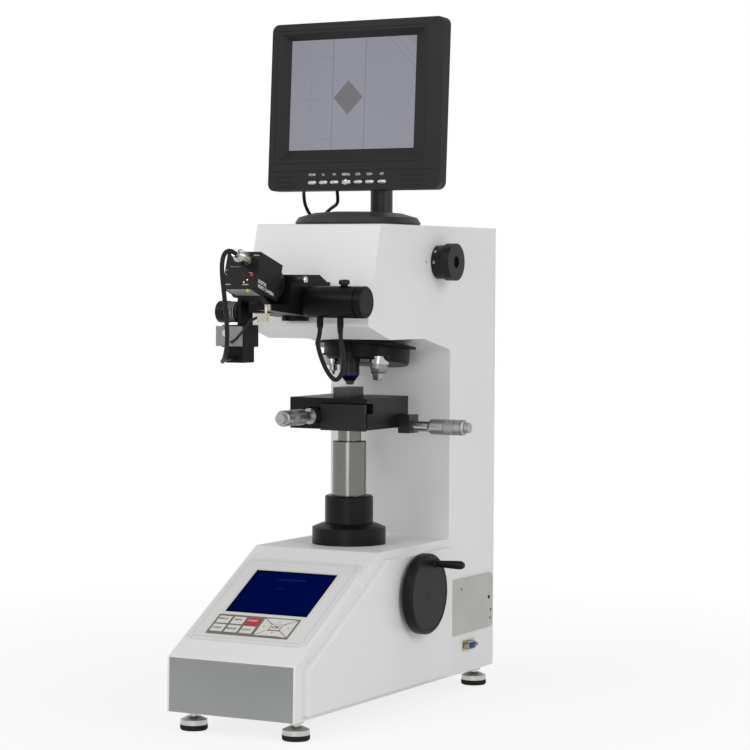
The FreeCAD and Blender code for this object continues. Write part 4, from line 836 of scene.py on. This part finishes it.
# %% Words as pieces, and the keys' legends
white_ink = moulded_plastic("white_ink", 0.62, 0.5)
dark_ink = moulded_plastic("dark_ink", 0.03, 0.5)
blue_ink = moulded_plastic("blue_ink", (0.012, 0.012, 0.10), 0.5)


def lettering(words, size):
    """Words as flat letters half a hair thick, centred on zero, in millimetres."""
    text = bpy.data.curves.new("words", "FONT")
    text.body, text.size, text.extrude = words, size, 0.03
    text.resolution_u, text.offset = 3, size * 0.018
    text.align_x, text.align_y = "CENTER", "CENTER"
    holder = placed("words", text)
    bpy.context.view_layer.update()
    flat = bpy.data.meshes.new_from_object(
        holder.evaluated_get(bpy.context.evaluated_depsgraph_get()))
    shape = bmesh.new()
    shape.from_mesh(flat)
    bpy.data.objects.remove(holder)
    bpy.data.curves.remove(text)
    bpy.data.meshes.remove(flat)
    return shape


def word_piece(name, words, size, place, spot, ink, body="cabinet"):
    """Words laid on a seat, at a spot in its own millimetres."""
    return finished(name, lettering(words, size), place @ Matrix.Translation(spot), ink, body)


key_names = ("POW", "V-", "V+", "MENU", "CH-", "CH+", "AV")
for number, (across, words) in enumerate(zip(key_places, key_names), 1):
    word_piece(f"key_legend_{number}", words, 4.0, monitor_seat, (across, LEGEND_ROW, 0.05),
               white_ink, "monitor")
print("legends:", len(key_names))

# %% [markdown]
# The membrane's keys carry plain words, printed in dark ink, and arrows round a blue OK. The
# letters are flat meshes laid a twentieth of a millimetre above the raised keys.

# %% Legends on the keypad
PRINT_HEIGHT = 3.96
key_words = [("PRINT", -44.6, 68.9), ("VIEW", -26.1, 68.9), ("START", -7.4, 68.9),
             ("TURN", -44.6, 52.6), ("MODE", -26.1, 52.6), ("LIGHT", -7.4, 52.6),
             ("<", 10.5, 60.7), (">", 41.0, 60.7), ("^", 25.6, 70.0), ("v", 25.6, 51.2)]
for number, (words, across, up) in enumerate(key_words, 1):
    word_piece(f"keypad_legend_{number}", words, 4.2, console_seat, (across, up, PRINT_HEIGHT),
               white_ink if words == "START" else dark_ink)
word_piece("keypad_legend_ok", "OK", 6.4, console_seat, (PAD_ACROSS, PAD_UP, PRINT_HEIGHT),
           blue_ink)
print("legends:", len(key_words) + 1)

# %% [markdown]
# ## The side of the base
# A grey moulded plate covers the printer's place, and below it sits a nine-way data socket with
# a plated shell and a blue insert. Near-black discs and a slab of painted shade stand for the
# plate's holes and the socket's contact holes.

# %% Printer plate and data socket
SOCKET_Y, SOCKET_Z, CONTACT_PITCH, CONTACT_ROWS = 168, 55, 2.77, ((5, 56.4), (4, 53.6))
socket_shell = bright_metal("socket_shell", (0.50, 0.46, 0.34), 0.25, None, 2, 0.004)
# painted shade: a near-black finish for discs that stand for the shade inside holes
painted_hole_shade = moulded_plastic("painted_hole_shade", 0.006, 0.6, 0.1)
insert_blue = moulded_plastic("insert_blue", (0.008, 0.035, 0.20), 0.4)
dress(moulded_plastic("printer_grey", (0.43, 0.425, 0.405), 0.45), "printer_panel")
dress(socket_shell, "serial_port")

side_seat = seat((82.0, 0, 0), (0, 1, 0), (1, 0, 0))
fittings = bmesh.new()
for y, z, radius in ((224.4, 91.1, 1.6), (223.1, 81.2, 1.6), (144.8, 123.9, 1.5)):
    add_turned(fittings, [(0, -0.3), (radius, -0.3), (radius, 0.12), (radius - 0.5, 0.25),
                          (0, 0.25)], (y, z))
add_slab(fittings, (219.1, 106.9, 0), (5.0, 4.0, 0.5), 0.2)
finished("printer_hole_shade", fittings, side_seat, painted_hole_shade)

slab_piece("socket_insert", (SOCKET_Y, SOCKET_Z, 3.45), (16.5, 7.6, 0.5), 0.15, side_seat,
           insert_blue)
contacts = [(SOCKET_Y + (i - (count - 1) / 2) * CONTACT_PITCH, z)
            for count, z in CONTACT_ROWS for i in range(count)]
turned_piece("socket_hole_shade", [(0, 3.6), (0.6, 3.6), (0.6, 3.78), (0, 3.78)], contacts, 12,
             side_seat, painted_hole_shade)
turned_piece("socket_standoffs", [(1.2, -1.0), (2.6, -1.0), (2.6, 4.0), (1.2, 4.0), (1.2, -1.0)],
             [(155.5, SOCKET_Z), (180.5, SOCKET_Z)], 6, side_seat, socket_shell)
print("side finishes are on, with", len(contacts), "contacts")

# %% [markdown]
# ## The optics in front
# The camera is a square black box with a printed back: a red lamp, small switches and four
# screws. Its finest legends are too small to read, so bars and dots in the finish stand for
# them. The beam splitter carries an ivory socket with a bare pin, the lamp a dark end cap, and
# the turret bright holders. These differ in colour only, so each is a test on the coordinates.

# %% The camera's finish
camera_out, camera_rear = Vector((0, -0.9563, 0.2924)), Vector((0, -224.76, 499.18))
camera_up = camera_out.cross(Vector((1, 0, 0)))
camera_seat = seat(camera_rear, (1, 0, 0), camera_out)


def camera_marks(recipe):
    across = recipe.along((1, 0, 0))
    up, out = recipe.along(camera_up, camera_rear), recipe.along(camera_out, camera_rear)

    def bar(left, right, height, thick=0.35):
        return between(across, left, right) * near(up, height, thick)

    dots = bar(-15.5, -2.5, 4.2) * dashed(across, 0.37, 0.35)
    words = any_of(bar(-17.5, -11.5, -15.6, 0.6), bar(3.5, 11.0, -15.6, 0.6),
                   bar(12.0, 19.0, 17.0, 0.6)) * dashed(across, 0.9, 0.6)
    dashes = any_of(bar(-19.6, -18.2, 0.4), bar(-19.6, -18.2, -4.4), bar(9.5, 13.5, -2.3, 0.25))
    ink = (out > -0.3) * any_of(dots, words, dashes)
    seam = near(out, -4.6, 0.18) * 0.7
    return [(ink * 0.9, (0.7, 0.7, 0.7), 0.0), (seam, (0.001, 0.001, 0.001), 0.0)]


dress(black_metal("camera_case", 0.0065, 0.5, 0.7, 0.06, 0.18, camera_marks), "camera_body")
print("the camera's back faces", [round(v, 3) for v in camera_out])

# %% The splitter, the turret, the lamp and the pull rod
SOCKET_FRONT, SOCKET_TOP, PIN_FRONT, PIN_SIDE = -0.20685, 0.45345, -0.2042, 0.0178
LAMP_Y, LAMP_Z, LAMP_CAP, CAP_RADIUS = -0.129, 0.4655, 0.0990, 11.5
HOLDER_X, HOLDER_Y, HOLDER_TOP, HOLDER_RADIUS = 0.0301, 0.0299, 0.4022, 0.0125
ROD_SLEEVE_END = 0.0370


def splitter_marks(recipe):
    x, y, z = recipe.axes()
    socket = (y < SOCKET_FRONT) * (z < SOCKET_TOP)
    pin = (y < PIN_FRONT) * (z > SOCKET_TOP) * (x > PIN_SIDE)
    return [(socket, (0.52, 0.50, 0.40), 0.0), (pin, (0.55, 0.53, 0.46), 1.0)]


def turret_marks(recipe):
    x, y, z = recipe.axes()
    holder = (z < HOLDER_TOP) * (off_axis(abs(x) - HOLDER_X, y - HOLDER_Y) < HOLDER_RADIUS)
    return [(holder, (0.46, 0.46, 0.45), 1.0)]


def lamp_marks(recipe):
    x, y, z = recipe.axes()
    radius = off_axis(y - LAMP_Y, z - LAMP_Z) * 1000
    cap = (x > LAMP_CAP) * (radius < CAP_RADIUS)
    ring = (x > LAMP_CAP) * near(radius, CAP_RADIUS, 0.3)
    return [(cap, (0.011, 0.011, 0.011), 0.0), (ring, (0.03, 0.03, 0.03), 0.0)]


def rod_marks(recipe):
    x, y, z = recipe.axes()
    return [(x > ROD_SLEEVE_END, (0.62, 0.62, 0.60), 1.0)]


dress(black_metal("splitter_black", 0.0042, marks=splitter_marks), "splitter_housing")
dress(black_metal("turret_black", 0.0045, 0.36, marks=turret_marks), "turret_body")
dress(black_metal("lamp_black", 0.0030, 0.34, shine=0.10, marks=lamp_marks), "lamp_housing")
dress(black_metal("rod_black", 0.02, 0.3, shine=0.4, marks=rod_marks), "beam_switch_rod")
print("marked finishes: 5")

# %% [markdown]
# The camera's lamp, screws and switches stand a little proud of its back, and a folded grey
# plate hangs under it. They are turned or cut from small stock, so spins and slabs make them.

# %% Camera fittings
red_lens = moulded_plastic("red_lens", (0.55, 0.010, 0.015), 0.25, 0.5)
under_grey = moulded_plastic("under_grey", 0.22, 0.4, 0.4)
yellow_spot = moulded_plastic("yellow_spot", (0.55, 0.42, 0.02), 0.4)
turned_piece("camera_lamp", [(0, -0.2), (1.9, -0.2), (1.9, 0.3), (1.5, 0.95), (0.8, 1.3),
                             (0, 1.4)], [(13, -4.8)], 24, camera_seat, red_lens)
turned_piece("camera_screws", [(0, -0.2), (1.3, -0.2), (1.3, 0.2), (0.9, 0.45), (0.45, 0.45),
                               (0.45, 0.2), (0, 0.2)],
             [(across, up) for across in (-18.6, 18.6) for up in (-18.6, 18.6)], 20,
             camera_seat, black_satin)
turned_piece("camera_switches", [(0, -0.2), (0.95, -0.2), (0.95, 0.5), (0.7, 0.8), (0, 0.8)],
             [(9, -10.5), (5, -13.2)], 16, camera_seat, nickel_small)
sockets = bmesh.new()
for across, up, radius in ((-2, -9, 1.5), (-8, -6, 3.4), (1.5, -1.0, 1.4)):
    add_turned(sockets, [(0, -0.2), (radius, -0.2), (radius, 0.25), (radius - 0.35, 0.25),
                         (radius - 0.35, 0.02), (0, 0.02)], (across, up), 28)
finished("camera_sockets", sockets, camera_seat, black_satin)
slab_piece("camera_plate", (0, -21.5, -9.8), (30, 0.9, 20.2), 0.25, camera_seat, under_grey)
turned_piece("camera_spot", [(0, -1.0), (1.6, -1.0), (1.6, 0.3), (1.2, 0.5), (0, 0.5)],
             [(11, -22.2)], 20, camera_seat, yellow_spot)
camera_side = seat(camera_rear + Vector((21.0, 0, 0)), -camera_out, (1, 0, 0))
side_words = (("DIGITAL", 11.0, -10.8), ("VIDEO CAMERA", 20.0, -15.8))
for number, (words, along, up) in enumerate(side_words, 1):
    word_piece(f"camera_words_{number}", words, 4.9, camera_side, (along, up, 0.05), white_ink)
print("camera fittings:", 6 + len(side_words))

# %% [markdown]
# The lamp is clamped by a low knurled screw on top, and its lead leaves and re-enters through
# tapered rubber boots that keep the wire from kinking. A boot is one turned profile.

# %% Lamp screw and boots
upright = Matrix.Scale(0.001, 4)
turned_piece("lamp_screw", [(0, 484.5), (5.6, 484.5), (6.0, 485.0), (6.0, 488.4), (5.4, 489.4),
                            (2.0, 489.95), (0, 489.95)], [(72, -129)], 40, upright, knob_plastic)
boots = bmesh.new()
for across, end in ((67.4, 431.0), (42.1, 436.0)):
    add_turned(boots, [(2.45, 440.5), (3.6, 440.5), (3.6, 438.5), (3.1, 437.6), (3.3, 437.4),
                       (2.8, end + 0.6), (2.65, end), (2.45, end), (2.45, 440.5)],
               (across, -129), 32)
finished("lamp_boots", boots, upright, black_rubber)
print("lamp fittings: 2")

# %% [markdown]
# ## The measuring eyepiece
# The drum is turned with five finger ribs whose tops carry a painted highlight, and closed at its
# left end. It spins on a pin of the case, so the new piece keeps the bore. Its case has a grey
# front plate with a small lens.

# %% Ribbed drum
DRUM_AXIS, RIBS, RIB_PITCH = (-64, -165, 454), 5, 1.95


def ribbed_black():
    recipe = Recipe("ribbed_black")
    x, y, z = recipe.axes()
    radius = off_axis(y - DRUM_AXIS[1] / 1000, z - DRUM_AXIS[2] / 1000) * 1000
    painted_crest_highlight = (radius > 11.25) * between(x, -0.0508, -0.0405)
    haze = recipe.grain(2.5)
    # painted highlight: the rib tops are tinted light grey
    shade = recipe.blend(painted_crest_highlight * (0.55 + haze * 0.4), colour(0.004), colour(0.42))
    return recipe.surface(Base_Color=shade, Roughness=0.36 + haze * 0.1,
                          Specular_IOR_Level=0.2, Normal=recipe.relief(haze, 0.02))


drum_profile = [(0, 0), (10.6, 0), (11.4, 0.4), (12, 1.2), (12, 12.6), (11.3, 13.3)]
for rib in range(RIBS):
    start = 13.6 + rib * RIB_PITCH
    drum_profile += [(10.3, start), (10.3, start + 0.7), (11.5, start + 0.95),
                     (11.5, start + 1.65)]
drum_profile += [(10.6, 23.6), (11, 24.2), (11, 27.0), (10.6, 27.6), (3.1, 27.6), (3.1, 1.6),
                 (0, 1.6)]
drum = bmesh.new()
add_turned(drum, drum_profile, steps=72)
drum_piece = finished("ribbed_drum", drum, seat(DRUM_AXIS, (0, 1, 0), (1, 0, 0)),
                      ribbed_black(), "measuring_drum", 30)
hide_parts("eyepiece_drum")
print("ribs on the drum:", RIBS)

# %% Front plate and lens
front_seat = seat((0, -177.0, 0), (1, 0, 0), (0, -1, 0))
slab_piece("eyepiece_plate", (-44.5, 427.5, 0.2), (34.0, 22.0, 0.5), 0.2, front_seat, under_grey)
turned_piece("eyepiece_lens", [(0, 0.2), (3.2, 0.2), (3.9, 0.2), (3.9, 1.2), (3.2, 1.5),
                               (2.6, 0.8), (0, 0.7)], [(-49, 431)], 32, front_seat, white_ink)
print("eyepiece pieces: 3")

# %% [markdown]
# ## The load knob
# Eight test loads are engraved round the knob's drum and filled with white, and a red dot on
# the cabinet shows the one in use. Each number is laid flat first and then rolled round the
# drum: the distance along the line becomes an angle.

# %% Numbers rolled round the drum
KNOB_RADIUS, KNOB_X, KNOB_Y, KNOB_Z, STEP_DEG = 19.53, 83.3, 82.6, 510.5, 38
loads = (10, 25, 50, 100, 200, 300, 500, 1000)
numbers = bmesh.new()
for step, grams in enumerate(loads):
    flat = lettering(str(grams), 3.7)
    middle = math.radians(180 - STEP_DEG * step)
    for vert in flat.verts:
        angle = middle + vert.co.x / KNOB_RADIUS
        reach = KNOB_RADIUS + vert.co.z
        vert.co = (KNOB_X + vert.co.y, KNOB_Y + reach * math.cos(angle),
                   KNOB_Z + reach * math.sin(angle))
    rolled = bpy.data.meshes.new("rolled")
    flat.to_mesh(rolled)
    flat.free()
    numbers.from_mesh(rolled)
    bpy.data.meshes.remove(rolled)
finished("load_numbers", numbers, upright, white_ink, "load_selector")
turned_piece("load_index", [(0, -0.2), (1.1, -0.2), (1.1, 0.12), (0, 0.12)], [(52.0, 510.4)],
             20, seat((79.5, 0, 0), (0, 1, 0), (1, 0, 0)), red_lens)
print("loads on the knob:", len(loads))

# %% [markdown]
# ## The handwheel's face
# A thin black plate closes the dish of the handwheel, with a hole where the crank's pin comes
# through and a small screw in the middle. Two circles filled between, then lifted, make a plate
# with a hole in one step.

# %% Plate and screw
disc = bmesh.new()
bmesh.ops.create_circle(disc, segments=96, radius=40.6)
bmesh.ops.create_circle(disc, segments=32, radius=5.6,
                        matrix=Matrix.Translation((13.4, 33.4, 0)))
bmesh.ops.triangle_fill(disc, edges=disc.edges, use_beauty=True)
lifted = bmesh.ops.extrude_face_region(disc, geom=disc.faces)["geom"]
bmesh.ops.translate(disc, vec=(0, 0, 0.4),
                    verts=[item for item in lifted if isinstance(item, bmesh.types.BMVert)])
wheel_seat = seat((105.05, 16, 133.5), (0, 1, 0), (1, 0, 0))
finished("wheel_plate", disc, wheel_seat, wheel_plastic, "handwheel")
turned_piece("wheel_screw", [(0, 0.3), (3.2, 0.3), (3.2, 0.55), (2.8, 0.62), (1.7, 0.62),
                             (1.5, 0.45), (0, 0.45)], [(0, 0)], 32, wheel_seat, black_satin,
             "handwheel")
print("the handwheel has its plate")

# %% [markdown]
# ## Light and floor
# A white cove: a wide floor, and a sky that is white only to the camera and in reflections. The
# light that falls on the machine comes from two large soft lamps, one in front on the left and
# one on the right, and two weak ones low in front and above, so the pale paint stays just below
# white.

# %% The floor
FLOOR_HALF, SHADE_START, SHADE_WIDTH, NEAR_WHITE = 30, 0.3, 0.9, 0.80


def studio_floor():
    shape = bmesh.new()
    bmesh.ops.create_grid(shape, x_segments=1, y_segments=1, size=FLOOR_HALF)
    mesh = bpy.data.meshes.new("studio_floor")
    shape.to_mesh(mesh)
    shape.free()
    recipe = Recipe("studio_floor")
    tint = recipe.blend(recipe.grain(400, 2), colour(0.92), colour(0.95))
    diffuse = recipe.node("ShaderNodeBsdfDiffuse", {}, {"Color": tint})
    bright = recipe.node("ShaderNodeEmission", {}, {"Color": colour(1), "Strength": 1.0})
    x, y, z = recipe.axes()
    far = ((off_axis(x, y) - SHADE_START) / SHADE_WIDTH).clipped()
    seen = any_of(*recipe.rays()) * (NEAR_WHITE + far * (1 - NEAR_WHITE))
    both = recipe.node("ShaderNodeMixShader", {}, {0: seen, 1: diffuse, 2: bright})
    mesh.materials.append(recipe.ends_in(both))
    placed("studio_floor", mesh)


studio_floor()
print("the floor is laid")

# %% The sky
SKY_LIGHT, SKY_SEEN, GLOSS_SHARE = 0.42, 1.0, 0.35


def studio_sky():
    world = bpy.data.worlds.new("studio_sky")
    bpy.context.scene.world = world
    recipe = Recipe("studio_sky", world)
    light, white = (recipe.node("ShaderNodeBackground", {}, {"Color": colour(1), "Strength": power})
                    for power in (SKY_LIGHT, SKY_SEEN))
    camera_ray, mirror_ray, glass_ray = recipe.rays()
    seen = any_of(camera_ray, glass_ray, mirror_ray * GLOSS_SHARE)
    both = recipe.node("ShaderNodeMixShader", {}, {0: seen, 1: light, 2: white})
    recipe.ends_in(both, "ShaderNodeOutputWorld")


studio_sky()
print("the sky is up")

# %% The lamps
def soft_lamp(name, place, aim, size, watts):
    data = bpy.data.lights.new(name, "AREA")
    data.shape, data.size, data.energy = "DISK", size, watts
    direction = Vector(aim) - Vector(place)
    placed(name, data).matrix_world = (
        Matrix.Translation(place) @ direction.to_track_quat("-Z", "Y").to_matrix().to_4x4())


soft_lamp("key_lamp", (-1.0, -2.6, 2.2), (0, 0, 0.4), 1.6, 28)
soft_lamp("side_lamp", (2.8, -0.9, 1.5), (0, 0, 0.4), 1.6, 25)
soft_lamp("low_lamp", (0.7, -2.3, 0.45), (0, 0, 0.25), 1.0, 7)
soft_lamp("top_lamp", (0.3, 0.6, 2.8), (0, 0, 0.4), 1.6, 8)
bpy.context.scene.view_settings.view_transform = "Standard"
print("lamps: 4")
